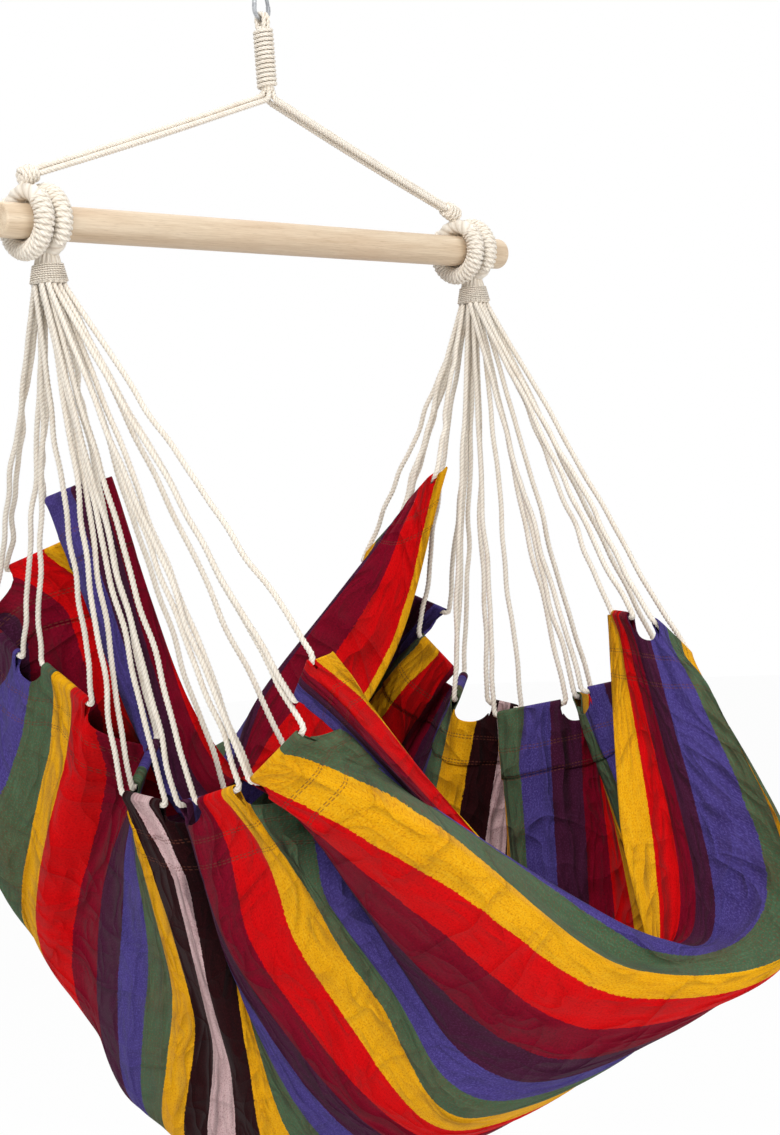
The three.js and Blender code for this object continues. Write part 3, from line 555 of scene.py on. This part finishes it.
def tube_parts(points, marks, radius, sides, pitch, lobes, depth, normals=None, squeeze=None):
    """Vertices, faces and UVs of a cord whose section is a ring of lobes that twists."""
    tangents = tangents_of(points)
    if normals is None:
        normals = carried_normals(points, tangents)
    others = np.cross(tangents, normals)
    k = np.arange(sides)
    base = 2 * np.pi * k / sides
    reach = radius * (1 - depth * (1 - np.cos(lobes * base)) / 2)
    angle = base[None, :] + 2 * np.pi * marks[:, None] / pitch
    flat = np.ones(len(points)) if squeeze is None else squeeze
    out = (reach * np.cos(angle))[..., None] * normals[:, None, :]
    wide = (reach * np.sin(angle) * flat[:, None])[..., None] * others[:, None, :]
    verts = (points[:, None, :] + out + wide).reshape(-1, 3)
    rings = len(points)
    i, j = (part.ravel() for part in np.meshgrid(np.arange(rings - 1), k, indexing="ij"))
    low, high = marks[i] / 1000, marks[i + 1] / 1000
    left, right = j / sides, (j + 1) / sides
    uvs = np.stack([np.column_stack([left, low]), np.column_stack([right, low]),
                    np.column_stack([right, high]), np.column_stack([left, high])], axis=1)
    uvs = np.vstack([uvs.reshape(-1, 2), np.zeros((2 * sides, 2))])
    return verts, ring_faces(rings, sides), uvs


def rope_mesh(name, parts, material=None):
    """One object of several cords or turned solids."""
    verts, faces, uvs, count = [], [], [], 0
    for part_verts, part_faces, part_uvs in parts:
        verts.append(part_verts)
        faces.extend([[n + count for n in face] for face in part_faces])
        uvs.append(part_uvs)
        count += len(part_verts)
    return add_mesh(name, np.vstack(verts), faces, material or ROPE, {"cord_uv": np.vstack(uvs)})


# The loose yarn of a cord stands out past its measured size
FLUFF = 1.17
CORD_TWIST, CORD_LOBES, LOBE_DEPTH = 15.0, 3, 0.22


def cord_piece(name, points, body, node, sides=9, step=1.6):
    path, marks = resample(points, step)
    parts = tube_parts(path, marks, CORD_D * FLUFF / 2, sides, CORD_TWIST, CORD_LOBES, LOBE_DEPTH)
    obj = dress(rope_mesh(name, [parts]), body, "rope", node)
    return obj


def bezier(a, b, c, count):
    t = np.linspace(0, 1, count + 1)[:, None]
    return a * (1 - t) ** 2 + 2 * b * t * (1 - t) + c * t ** 2


# Seat cords

SEAT_EYES = (("left", -337.0, -1), ("right", 345.0, 1))
NECK_BOTTOM, NECK_TOP_D, NECK_BOTTOM_D = 66.0, 24.0, 39.0
CORNER, LEAD, CORD_PITCH = 8.0, 2.5, 7.2
TUNNEL_CLEAR = TUNNEL_OUTER + CORD_D / 2 + 3
LEG_POINTS, BEND_POINTS = 90, 8
# Sideways waves of a slack cord: how wide, and how many half waves in its run
SWAYS = ((1.5, 2.1), (1.1, 5.3), (0.9, 9.7), (0.5, 15.1))


def legs_of(side, neck):
    legs = []
    for index in range(TABS):
        start, end, axis = tab_at(index, side)
        for mouth, out in ((start, -1), (end, 1)):
            rise = unit(neck - mouth)
            doubling = max(0, -out * (rise @ axis))
            reach = max(CORNER, TUNNEL_CLEAR * doubling / math.sqrt(1 - doubling ** 2))
            corner = mouth + axis * out * reach
            fall = corner - neck
            legs.append({"index": index, "mouth": mouth, "corner": corner,
                         "fan": math.atan2(fall[1], -fall[2]), "lean": fall[0] / -fall[2]})
    by_fan = sorted(legs, key=lambda leg: leg["fan"])
    taken, sizes = 0, (4, 5, 4, 5, 4)
    for row, size in enumerate(sizes):
        y = (row - 2) * CORD_PITCH * math.sqrt(3) / 2
        share = sorted(by_fan[taken:taken + size], key=lambda leg: leg["lean"])
        for k, leg in enumerate(share):
            leg["top"] = neck + vec((k - (size - 1) / 2) * CORD_PITCH, y, 0)
        taken += size
    return legs


def seat_route(legs, index):
    halves = []
    for leg in [one for one in legs if one["index"] == index]:
        up = unit(leg["top"] - leg["corner"])
        below = leg["top"] + vec(0, 0, -LEAD)
        foot = leg["corner"] + up * CORNER
        run = np.linspace(below, foot, LEG_POINTS)
        # A cord under a small load is never quite straight
        share = np.linspace(0, 1, LEG_POINTS)
        sway = np.clip(12 * share * (1 - share), 0, 1) * np.clip(share * 2.6 - 0.2, 0, 1)
        across = unit(np.cross(up, vec(0, 0.3, 1)))
        for way, size in ((across, 1.0), (np.cross(up, across), 0.8)):
            phase = RNG.uniform(0, 2 * math.pi, len(SWAYS))
            waves = sum(wide * np.sin(halves_in * math.pi * share + start)
                        for (wide, halves_in), start in zip(SWAYS, phase))
            run = run + (size * waves * sway)[:, None] * way
        end = leg["mouth"] + (leg["corner"] - leg["mouth"]) * 0.1
        bend = bezier(foot, leg["corner"], end, BEND_POINTS)
        halves.append(np.vstack([leg["top"][None], run, bend[1:]]))
    return np.vstack([halves[0], halves[1][::-1]])


for word, eye_x, side in SEAT_EYES:
    neck = vec(eye_x, 0, -NECK_BOTTOM - 0.3)
    legs = legs_of(side, neck)
    for index in range(TABS):
        name = f"cord_{word}_{index + 1}"
        cord_piece(name, seat_route(legs, index), "seat", "seat_" + name)

# Harness ropes

BAR_RADIUS = 19.0
EYE_CORE, WIND_CORD, EYE_GAP = 10.4, 5.6, 0.75
EYE_BAND = 11.784
EYE_PATH = BAR_RADIUS + 0.5 + EYE_BAND
KNOT_LENGTH, KNOT_HEIGHT, KNOT_D = 24.0, 50.0, 23.0
SHAFT_X, SHAFT_FOOT = 8.0, 174.0
SPREAD = 6.6


def knot_facts(eye_x):
    towards = -1.0 if BAR[0] + eye_x > 0 else 1.0
    centre = vec(eye_x + towards * (KNOT_LENGTH / 2 - EYE_CORE / 2), 0, KNOT_HEIGHT)
    goal = vec(SHAFT_X, 0, SHAFT_FOOT - 12.0)
    return centre, unit(goal - centre)


HARNESS_EYES = (("left", -361.5), ("right", 320.5))
LEAVE, ROPE_POINTS, SLACK = 8.4, 60, 1.6


def harness_route(eye_x, index):
    """A rope from its place under the shaft, bent over and down to the knot."""
    centre, along = knot_facts(eye_x)
    angle = (1 - index) * math.pi / 3
    middle = index == 1
    top = vec(SHAFT_X + math.copysign(SPREAD, eye_x) * math.cos(angle), SPREAD * math.sin(angle),
              SHAFT_FOOT - 0.3)
    upward = unit(np.cross(along, vec(0, 1, 0)))
    upward = -upward if upward[2] < 0 else upward
    rise = SPREAD * 0.6 if middle else -SPREAD * 0.3
    sway = 0 if middle else math.copysign(SPREAD * 0.52, math.sin(angle))
    end = centre + along * (KNOT_LENGTH / 2 + 0.3) + upward * rise + vec(0, sway, 0)
    corner = top + vec(0, 0, -6.0 * (0.9 if middle else 1.7))
    leave = unit(end - corner)
    bend = bezier(top + (corner - top) * 0.3, corner, corner + leave * LEAVE, BEND_POINTS)
    share = np.linspace(0, 1, ROPE_POINTS - 1)
    droop = np.sin(np.pi * share) * (SLACK - 0.5 * index)
    run = np.linspace(bend[-1], end, ROPE_POINTS)[1:] - droop[:, None] * upward
    return np.vstack([top[None], bend, run])


for word, eye_x in HARNESS_EYES:
    for index in range(3):
        cord_piece(f"harness_cord_{word}_{index + 1}", harness_route(eye_x, index), "harness",
                   f"harness_rope_{word}_{index + 1}", sides=12, step=1.5)

# Windings and eyes


def wound(path_at, start, pitch, turns, ring, count):
    """Points of a wound cord, the way out from its core, and its turns' spacing."""
    marks = np.linspace(0, turns, int(turns * count) + 1)
    points, outs, spacing = [], [], []
    for mark in marks:
        point, a, b, scale = path_at(start + mark * pitch)
        out = a * math.cos(2 * math.pi * mark) + b * math.sin(2 * math.pi * mark)
        radius = ring(start + mark * pitch)
        points.append(point + out * radius)
        outs.append(out)
        spacing.append(pitch * scale(out * radius))
    return np.array(points), np.array(outs), np.array(spacing)


def wound_piece(name, points, outs, spacing, cord, body, node, material, sides=9, pitch=17.0,
                depth=0.24, lobes=3):
    marks = run_of(points)
    squeeze = np.minimum(1.0, spacing / cord * 1.02)
    tangents = tangents_of(points)
    outs = unit(outs - tangents * np.sum(outs * tangents, axis=1, keepdims=True))
    parts = tube_parts(points, marks, cord / 2, sides, pitch, lobes, depth, outs, squeeze)
    dress(rope_mesh(name, [parts], material), body, "rope", node)


# An eye's winding has this many turns, and stops short of the neck by an angle
EYE_TURNS, CLEAR = 29, 0.8


def eye_winding(name, node, eye_x, open_angle, body):
    centre = vec(eye_x, 0, 0)
    arc = EYE_PATH * (2 * math.pi - 2 * CLEAR)

    def path_at(run):
        angle = open_angle + CLEAR + run / EYE_PATH
        out = vec(0, math.cos(angle), math.sin(angle))
        return (centre + out * EYE_PATH, out, vec(1, 0, 0),
                lambda off: 1 + (off @ out) / EYE_PATH)

    ring = EYE_CORE / 2 + WIND_CORD / 2 + EYE_GAP
    points, outs, spacing = wound(path_at, 0, arc / EYE_TURNS, EYE_TURNS, lambda run: ring, 26)
    points = points + RNG.normal(0, 0.05, points.shape)
    wound_piece(name, points, outs, spacing, WIND_CORD, body, node, ROPE)


def eye_core(eye_x, count=110):
    angle = np.linspace(0, 2 * math.pi, count)
    normals = np.column_stack([np.zeros(count), np.cos(angle), np.sin(angle)])
    points = vec(eye_x, 0, 0) + EYE_PATH * normals
    marks = angle * EYE_PATH
    radius = EYE_CORE / 2 + EYE_GAP + WIND_CORD * 0.62
    return tube_parts(points, marks, radius, 15, marks[-1] / 6, 3, 0.12, normals)


def ribbed_cone(eye_x, rows, ribs, depth, count=96):
    """A turned solid about the vertical through the eye, ribbed like a bundle of cords."""
    verts = []
    angle = 2 * np.pi * np.arange(count) / count
    for radius, height, share, twist in rows:
        rib = 1 - share * depth * (1 - np.abs(np.cos(ribs * (angle + twist) / 2)))
        verts.append(np.column_stack([eye_x + radius * rib * np.cos(angle),
                                      radius * rib * np.sin(angle),
                                      np.full(count, height)]))
    faces = ring_faces(len(rows), count)
    uvs = []
    for face in faces:
        for n in face:
            ring, k = divmod(n, count)
            uvs.append([k / count * ribs / 3, rows[ring][1] / 1000])
    return np.vstack(verts), faces, np.array(uvs)


def barrel(centre, along, radius, length, count=28, steps=12):
    side = unit(np.cross(along, vec(0, 1, 0)))
    other = np.cross(along, side)
    verts = []
    angle = 2 * np.pi * np.arange(count) / count
    for s in np.linspace(-1, 1, steps + 1):
        r = radius * max(0.35, (1 - abs(s) ** 5) ** 0.5)
        verts.append(centre + along * (s * length / 2)
                     + r * (np.cos(angle)[:, None] * side + np.sin(angle)[:, None] * other))
    faces = ring_faces(steps + 1, count)
    uvs = [[(n % count) / count, (n // count) * length / steps / 1000] for f in faces for n in f]
    return np.vstack(verts), faces, np.array(uvs)


def knot_turns(centre, along, radius, cord, turns):
    """The rope's own end wound round the knot, in touching turns."""
    side = unit(np.cross(along, vec(0, 1, 0)))
    other = np.cross(along, side)
    count = 24
    marks = np.linspace(0, turns, turns * count + 1)
    length = turns * cord * 0.93
    ring = radius - cord / 2
    crown = ring * (1 - 0.16 * np.abs(2 * marks / turns - 1) ** 2)
    points = (centre + along * ((marks / turns - 0.5) * length)[:, None]
              + (crown * np.cos(2 * np.pi * marks))[:, None] * side
              + (crown * np.sin(2 * np.pi * marks))[:, None] * other)
    path, run = resample(points, 1.5)
    return tube_parts(path, run, cord / 2, 9, 18.0, 3, 0.26)


for word, eye_x in HARNESS_EYES:
    eye_winding(f"harness_wrap_{word}", f"harness_winding_{word}", eye_x, math.pi / 2, "harness")
    centre, along = knot_facts(eye_x)
    post_from, post_to = vec(eye_x, 0, EYE_PATH - 3), vec(eye_x, 0, KNOT_HEIGHT + 1)
    post, run = resample([post_from, post_to + along * 4], 1.5)
    ring = rope_mesh(f"harness_ring_{word}", [
        eye_core(eye_x),
        tube_parts(post, run, EYE_CORE / 2, 15, 28.0, 3, 0.26),
        barrel(centre, along, KNOT_D / 2 - 3.2, KNOT_LENGTH - 1),
        knot_turns(centre, along, KNOT_D / 2, 5.8, 4),
    ])
    dress(ring, "harness", "rope", f"harness_eye_{word}")

for word, eye_x, side in SEAT_EYES:
    eye_winding(f"seat_wrap_{word}", f"seat_winding_{word}", eye_x, -math.pi / 2, "seat")
    rows = []
    for t in np.linspace(0, 1, 16):
        radius = (NECK_TOP_D + (NECK_BOTTOM_D - NECK_TOP_D) * t) / 2
        rows.append((radius, -EYE_PATH - t * (NECK_BOTTOM - EYE_PATH), 1, t * 0.5))
    rows = [(NECK_TOP_D / 2 - 4, -EYE_PATH + 6, 0.4, 0), *rows]
    rows = rows[:-1] + [(NECK_BOTTOM_D / 2 - 0.4, -NECK_BOTTOM + 0.4, 1, 0.5),
                        (NECK_BOTTOM_D / 2 - 2.2, -NECK_BOTTOM, 1, 0.5)]
    ring = rope_mesh(f"seat_ring_{word}", [eye_core(eye_x), ribbed_cone(eye_x, rows, 18, 0.12)])
    dress(ring, "seat", "rope", f"seat_eye_{word}")

    rise = NECK_BOTTOM - EYE_PATH
    turns, pitch, fine = 8, 2.45, 2.5

    def path_at(run, x=eye_x):
        return vec(x, 0, -EYE_PATH - run), vec(0, 1, 0), vec(1, 0, 0), lambda off: 1

    def ring_at(run):
        return (NECK_TOP_D + (NECK_BOTTOM_D - NECK_TOP_D) * run / rise) / 2 + fine / 2 - 0.1

    start = rise - 1.6 - turns * pitch
    points, outs, spacing = wound(path_at, start, pitch, turns, ring_at, 40)
    wound_piece(f"collar_wrap_{word}", points, outs, spacing, fine, "seat",
                f"neck_collar_{word}", FINE, 6, 7.0, 0.2, 2)

# Hanging loop and whipping

SHAFT_TOP, SWING, HOOK_ROD, LOOP_ROPE = 250.0, 259.0, 5.5, 5.9
bend_radius = HOOK_ROD / 2 + 0.75 + 3
parts = []
for off in (-3.0, 3.0):
    angle = np.linspace(0, math.pi, 25)
    route = np.column_stack([np.full(25, SHAFT_X + off), bend_radius * np.cos(angle),
                             SWING + bend_radius * np.sin(angle)])
    first, last = (vec(SHAFT_X + off, y, SHAFT_TOP - 6) for y in (4.5, -4.5))
    path, run = resample(np.vstack([first, route, last]), 1.4)
    parts.append(tube_parts(path, run, LOOP_ROPE / 2, 12, 19.0, 3, 0.28))
rows = [(6.6, SHAFT_FOOT, 1, 0), (7.3, SHAFT_FOOT + 1, 1, 0), (7.45, SHAFT_FOOT + 20, 1, 0.5),
        (7.45, SHAFT_TOP - 20, 1, 1.2), (7.3, SHAFT_TOP - 1, 1, 1.6), (6.2, SHAFT_TOP, 1, 1.6)]
parts.append(ribbed_cone(SHAFT_X, rows, 9, 0.14, 72))
dress(rope_mesh("loop_ropes", parts), "harness", "rope", "hanging_loop")

WHIP_TURNS, WHIP_INSET, SHAFT_RADIUS, WHIP_CORD = 13, 4.0, 7.5, 5.0
pitch = (SHAFT_TOP - SHAFT_FOOT - 2 * WHIP_INSET) / WHIP_TURNS


def shaft_at(run):
    return vec(SHAFT_X, 0, SHAFT_TOP - run), vec(1, 0, 0), vec(0, -1, 0), lambda off: 1


points, outs, spacing = wound(shaft_at, WHIP_INSET, pitch, WHIP_TURNS,
                              lambda run: SHAFT_RADIUS + WHIP_CORD / 2, 30)
wound_piece("whipping_wrap", points, outs, spacing, WHIP_CORD + 0.1, "harness",
            "hanging_whipping", ROPE, sides=12, pitch=16.0)

# Spreader bar


def turned_bar(half=400.0, edge=3.0, count=96):
    """The bar with rounded ends, a little uneven along its length as turned wood is."""
    profile = [(BAR_RADIUS * 0.45, -half)]
    for k in range(7):
        angle = math.pi / 2 * k / 6
        profile.append((BAR_RADIUS - edge + edge * math.sin(angle),
                        -half + edge - edge * math.cos(angle)))
    ends = [(r, -x) for r, x in profile[::-1]]
    profile += [(BAR_RADIUS, x) for x in np.linspace(-half + 20, half - 20, 60)] + ends
    verts = []
    angle = 2 * np.pi * np.arange(count) / count
    for r, x in profile:
        wave = r * (1 + 0.0012 * math.sin(x / 47.0) + 0.0009 * math.sin(x / 19.0 + 1))
        verts.append(np.column_stack([np.full(count, x), wave * np.cos(angle),
                                      wave * np.sin(angle)]))
    return np.vstack(verts), [face[::-1] for face in ring_faces(len(profile), count)]


dress(add_mesh("turned_bar", *turned_bar(), WOOD), "bar", "wood", "spreader_bar")

# Snap hook, whose solids are shown as they are

for name in ("carabiner_frame", "carabiner_gate", "gate_pin"):
    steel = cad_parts[name]
    steel.data.materials.clear()
    steel.data.materials.append(STEEL)

# Seat cloth

PER_STRIPE, MID_ROWS, EDGE = 12, 88, 92.0
THICK, FOLD_R, TUNNEL_R, ALLOW = 1.5, 0.95, 5.2, 78.0
# Millimetres from the hem to each row of points beside it, closer where it is sewn
EDGE_ROWS = np.concatenate([np.arange(0, 30, 3.0), np.arange(30, EDGE + 0.1, 4.43)])
HEM_SHARE, SEAM_FADE, FLAT_SIZE = 0.02, 70.0, (1.62, 1.21)


def columns():
    """Stripe coordinate of each column, its tab or None, and how deep the hem is cut."""
    marks = []
    for index in range(TABS):
        middle = TAB_STRIPES * (index + 0.5)
        low, high = middle - HALF_TAB, middle + HALF_TAB
        if index == 0:
            marks += [(s, None, 0.0) for s in np.linspace(0, low, 9)[:-1]]
        else:
            before = TAB_STRIPES * (index - 0.5) + HALF_TAB
            count = int((low - before) * PER_STRIPE)
            for t in np.linspace(0, 1, count + 1)[1:-1]:
                depth = NOTCH * (1 - abs(2 * t - 1) ** 2.6) ** 0.5
                marks.append((before + (low - before) * t, None, depth))
        count = int((high - low) * PER_STRIPE)
        marks += [(s, index, 0.0) for s in np.linspace(low, high, count + 1)]
    marks += [(s, None, 0.0) for s in np.linspace(high, STRIPES, 9)[1:]]
    return marks


def soft_waves(u, v, count, longest, shortest, stretch, seed):
    """Sum of long soft waves over the cloth, in its own flat millimetres."""
    rng = np.random.default_rng(seed)
    total = np.zeros_like(u)
    for _ in range(count):
        length = rng.uniform(shortest, longest)
        lean = rng.uniform(-1, 1) / stretch
        phase = rng.uniform(0, 2 * math.pi)
        total += np.sin(2 * math.pi / length * (u + lean * v) + phase)
    return total / math.sqrt(count)


# How many stripes the pattern has shifted from the net's own count, where the rolled
# selvages take up cloth and where the gathers skew it: rows by stripe, columns across
DRIFT_ACROSS = (-1, -0.85, -0.6, -0.3, 0, 0.4, 1)
DRIFT = [
    [0, 0.25, 0.75, 1, 0.75, 0.5, 0, 0],
    [1.5, 0.75, 1, 1, 0.75, 0.5, 0, 0],
    [2.5, 1.75, 1.75, 1, 0.75, 0.5, 0.25, 0],
    [4.5, 1, 1, 1, 0.75, 0.5, 0.25, 0],
    [6, 0.5, 0.5, 0.25, 0.25, 0.25, 0, 0],
    [8, 0, 0, 0, 0, 0, 0, 0],
    [11, 0.5, 0, -0.75, -0.5, 0, 0, 0],
    [16, 0, 0, 0, 0, 0, 0, 0],
    [20, 0, 1, 0.75, 0.25, 0, 0, 0],
    [23, 0, 0.75, 1.25, 0.75, 0, 0, 0],
    [26, 0.5, 1, 1.25, 0.75, 0, 0, 0],
    [29, 0.5, 0.75, 0.5, 0.25, 0, 0, 0],
    [31.5, 0, -0.5, -0.75, -0.25, 0, 0, 0],
    [34, -1, -2, -1.75, -0.75, 0, 0, 0],
    [37, -1.75, -2, -1.75, -1, -0.25, 0, 0],
    [41, -2.5, -2.25, -1.75, -1.25, -0.75, -0.75, -0.5],
]


def stripe_drift(stripe, across):
    """The stripe of the pattern that lies on one line of the net."""
    knots = [smooth_through([[row[0], row[c + 1]] for row in DRIFT], stripe)
             for c in range(len(DRIFT_ACROSS))]
    pairs = list(zip(DRIFT_ACROSS, knots))
    return stripe + np.array([smooth_through(pairs, spot) for spot in across])


def cloth_grid():
    cols = columns()
    tabs = {(i, side): tab_at(i, side) for i in range(TABS) for side in (-1, 1)}
    points, reach, wide = [], [], []
    for stripe, tab, cut in cols:
        spans = {}
        for side in (-1, 1):
            pair = cloth_line(stripe, np.array([side, side * (1 - HEM_SHARE)]))
            spans[side] = np.linalg.norm(pair[1] - pair[0]) / HEM_SHARE
        true = cut + EDGE_ROWS * (EDGE - cut) / EDGE
        left = -(1 - true / spans[-1])
        right = 1 - true / spans[1]
        middle = np.linspace(left[-1], right[-1], MID_ROWS + 2)[1:-1]
        across = np.concatenate([left, middle, right[::-1]])
        line = cloth_line(stripe, across)
        if tab is not None:
            for side, rows, sel in ((-1, true, slice(0, len(true))),
                                    (1, true[::-1], slice(len(across) - len(true), None))):
                start, end, _ = tabs[(tab, side)]
                share = (stripe - TAB_STRIPES * (tab + 0.5) + HALF_TAB) / (2 * HALF_TAB)
                straight = start + (end - start) * share
                offset = straight - cloth_line(stripe, side)[0]
                far = np.clip(rows / SEAM_FADE, 0, 1)
                fade = (1 - far) ** 2 * (1 + 2 * far)
                line[sel] += fade[:, None] * offset
        points.append(line)
        far = np.full(len(across), 0.5)
        far[:len(true)], far[-len(true):] = true / 1000, true[::-1] / 1000
        reach.append(far)
        wide.append(stripe_drift(stripe, across) * STRIPE_MM)
    return cols, np.array(points), np.array(reach), np.array(wide)


cols, grid, reach, wide = cloth_grid()
steps = np.linalg.norm(np.diff(grid, axis=1), axis=2)
along = np.concatenate([np.zeros((len(grid), 1)), np.cumsum(steps, axis=1)], axis=1)
along -= along[:, along.shape[1] // 2][:, None]
normals = unit(np.cross(np.gradient(grid, axis=0), np.gradient(grid, axis=1)))
for _ in range(3):
    soft = normals.copy()
    soft[1:-1] += normals[:-2] + normals[2:]
    soft[:, 1:-1] += normals[:, :-2] + normals[:, 2:]
    normals = unit(soft)

hem_mm = np.minimum(reach * 1000, 400)
near = np.exp(-hem_mm / 120)
broad = soft_waves(wide, along, 9, 190, 70, 9.0, 7)
gathers = soft_waves(wide, along, 7, 48, 20, 14.0, 11)
small = soft_waves(wide, along, 9, 70, 30, 2.5, 23)
free = 1 - np.exp(-((hem_mm / 22) ** 2))
edge_u = np.clip(np.minimum(wide, STRIPES * STRIPE_MM - wide) / 60, 0.25, 1)
middle_share = np.clip(hem_mm / 300, 0, 1)
lift_mm = free * (broad * 2.3 * edge_u + gathers * 2.0 * near + small * 0.45 * middle_share)
for spot in (43.5, 75):
    pucker = np.sin(2 * math.pi * wide / 10.5 + 2.2 * np.sin(wide / 37.0))
    lift_mm += np.exp(-((reach * 1000 - spot) / 5.0) ** 2) * (0.45 * pucker - 0.35)
grid = grid + lift_mm[..., None] * normals


def sewn_cloth():
    """The sheet with its hems: the allowance inside, the wrap round each cord or fold,
    then the sheet itself and the same again at the other end."""
    edge = len(EDGE_ROWS)
    wrap = 9
    allow_rows = [i for i in range(edge) if EDGE_ROWS[i] <= ALLOW][::-1]
    wide_count = len(grid)
    strips = []

    def sleeve(distance):
        """How far the two layers stand apart in each column, this far from the hem."""
        settle = math.exp(-((distance / 16.0) ** 1.5))
        radii = np.array([FOLD_R if col[1] is None else TUNNEL_R for col in cols])
        return FOLD_R + (radii - FOLD_R) * settle

    for end in (0, 1):
        rows_of = (lambda k: k) if end == 0 else (lambda k: grid.shape[1] - 1 - k)
        inner, wraps = [], []
        for k in allow_rows:
            j = rows_of(k)
            inner.append(grid[:, j] - normals[:, j] * sleeve(EDGE_ROWS[k])[:, None])
        j = rows_of(0)
        towards = unit(grid[:, j] - grid[:, rows_of(2)])
        for k in range(1, wrap):
            angle = math.pi * k / wrap
            way = math.sin(angle) * towards - math.cos(angle) * normals[:, j]
            wraps.append(grid[:, j] + sleeve(0)[:, None] * way)
        reach_inner = [reach[:, rows_of(k)] for k in allow_rows]
        strips.append((inner, wraps, reach_inner))

    main = []
    for j in range(grid.shape[1]):
        k = min(j, grid.shape[1] - 1 - j)
        offs = np.zeros(wide_count)
        if k < edge:
            offs = sleeve(EDGE_ROWS[k]) * np.clip((EDGE - EDGE_ROWS[k]) / 14.0, 0, 1)
        main.append(grid[:, j] + normals[:, j] * offs[:, None])

    last, flat = grid.shape[1] - 1, np.zeros(wide_count)
    sheet = [(p, r, along[:, k], k) for p, r, k in zip(strips[0][0], strips[0][2], allow_rows)]
    sheet += [(p, flat, along[:, 0] - 4, 0) for p in strips[0][1]]
    sheet += [(p, reach[:, j], along[:, j], j) for j, p in enumerate(main)]
    sheet += [(p, flat, along[:, -1] + 4, last) for p in strips[1][1][::-1]]
    sheet += [(p, r, along[:, last - k], last - k)
              for p, r, k in list(zip(strips[1][0], strips[1][2], allow_rows))[::-1]]
    points = np.array([row[0] for row in sheet])
    n_rows = len(points)
    first_main = len(allow_rows) + wrap - 1
    last_main = first_main + grid.shape[1] - 1
    tunnel_rows = 3
    faces, uv_a, uv_b = [], [], []
    for i in range(wide_count - 1):
        seam = (cols[i][1] is None) != (cols[i + 1][1] is None)
        for j in range(n_rows - 1):
            if seam:
                low = first_main - (wrap - 1) - tunnel_rows <= j < first_main + tunnel_rows
                high = last_main - tunnel_rows <= j < last_main + (wrap - 1) + tunnel_rows
                if low or high:
                    continue
            corners = ((j, i), (j, i + 1), (j + 1, i + 1), (j + 1, i))
            faces.append([r * wide_count + c for r, c in corners])
            for r, c in corners:
                uv_a.append((wide[c, sheet[r][3]] / 1000, sheet[r][2][c] / 1000))
                uv_b.append((sheet[r][1][c], 0.0))
    return points.reshape(-1, 3), faces, {"cloth_uv": uv_a, "hem_uv": uv_b}


verts, faces, uvs = sewn_cloth()
cloth = add_mesh("striped_seat", verts, faces, CLOTH, uvs)
skin = cloth.modifiers.new("thickness", "SOLIDIFY")
skin.thickness, skin.offset, skin.use_even_offset = THICK / 1000, 0.0, False
dress(cloth, "seat", "cloth", "seat_cloth")

# Floor and light


def add_floor(half=14.0, height=-1.78):
    mesh = bpy.data.meshes.new("studio_floor")
    mesh.from_pydata([(-half, -half, 0), (half, -half, 0), (half, half, 0), (-half, half, 0)], [],
                     [(0, 1, 2, 3)])
    floor = bpy.data.objects.new("studio_floor", mesh)
    floor.location = (0, 0, height)
    bpy.context.scene.collection.objects.link(floor)
    look = Look("pale_floor")
    at = look.add("TexCoord").outputs["Object"]
    grain = look.noise(at, 40.0, 3.0)
    colour = look.ramp(grain, [(0.3, srgb(250, 250, 249)), (0.7, srgb(254, 254, 253))])
    look.out(base=colour, rough=0.9, specular=0.1)
    glow = look.add("Emission", {"Color": (1, 1, 1, 1), "Strength": 1.0})
    fac = look.times(look.plain_view(), 0.96)
    both = look.add("MixShader", {0: fac, 1: look.shader.outputs[0], 2: glow.outputs[0]})
    output = look.tree.nodes["Material Output"]
    look.tree.links.new(both.outputs[0], output.inputs[0])
    mesh.materials.append(look.mat)


add_floor()

world = bpy.data.worlds.new("studio")
bpy.context.scene.world = world
world.use_nodes = True
sky = Nodes(world.node_tree)
soft_sky = sky.tree.nodes["Background"]
soft_sky.inputs[0].default_value = (1, 1, 1, 1)
soft_sky.inputs[1].default_value = 0.46
white = sky.add("Background", {0: (1, 1, 1, 1), 1: 1.0})
choose = sky.add("MixShader", {0: sky.plain_view(), 1: soft_sky.outputs[0], 2: white.outputs[0]})
sky.tree.links.new(choose.outputs[0], sky.tree.nodes["World Output"].inputs[0])


# Each lamp's place, width and power; all shine on the middle of the seat
SEAT_MIDDLE = Vector((0, 0, -0.8))
LAMPS = {
    "key_light": ((-2.6, -1.6, 1.4), 1.8, 78),
    "fill_light": ((0.6, -3.2, -0.2), 2.4, 34),
    "top_light": ((0.6, 0.8, 2.2), 2.0, 44),
}
for name, (where, width, power) in LAMPS.items():
    data = bpy.data.lights.new(name, "AREA")
    data.shape, data.size, data.energy = "DISK", width, power
    lamp = bpy.data.objects.new(name, data)
    lamp.location = where
    lamp.rotation_mode = "QUATERNION"
    lamp.rotation_quaternion = (SEAT_MIDDLE - Vector(where)).to_track_quat("-Z", "Y")
    bpy.context.scene.collection.objects.link(lamp)

bpy.context.scene.view_settings.view_transform = "Standard"
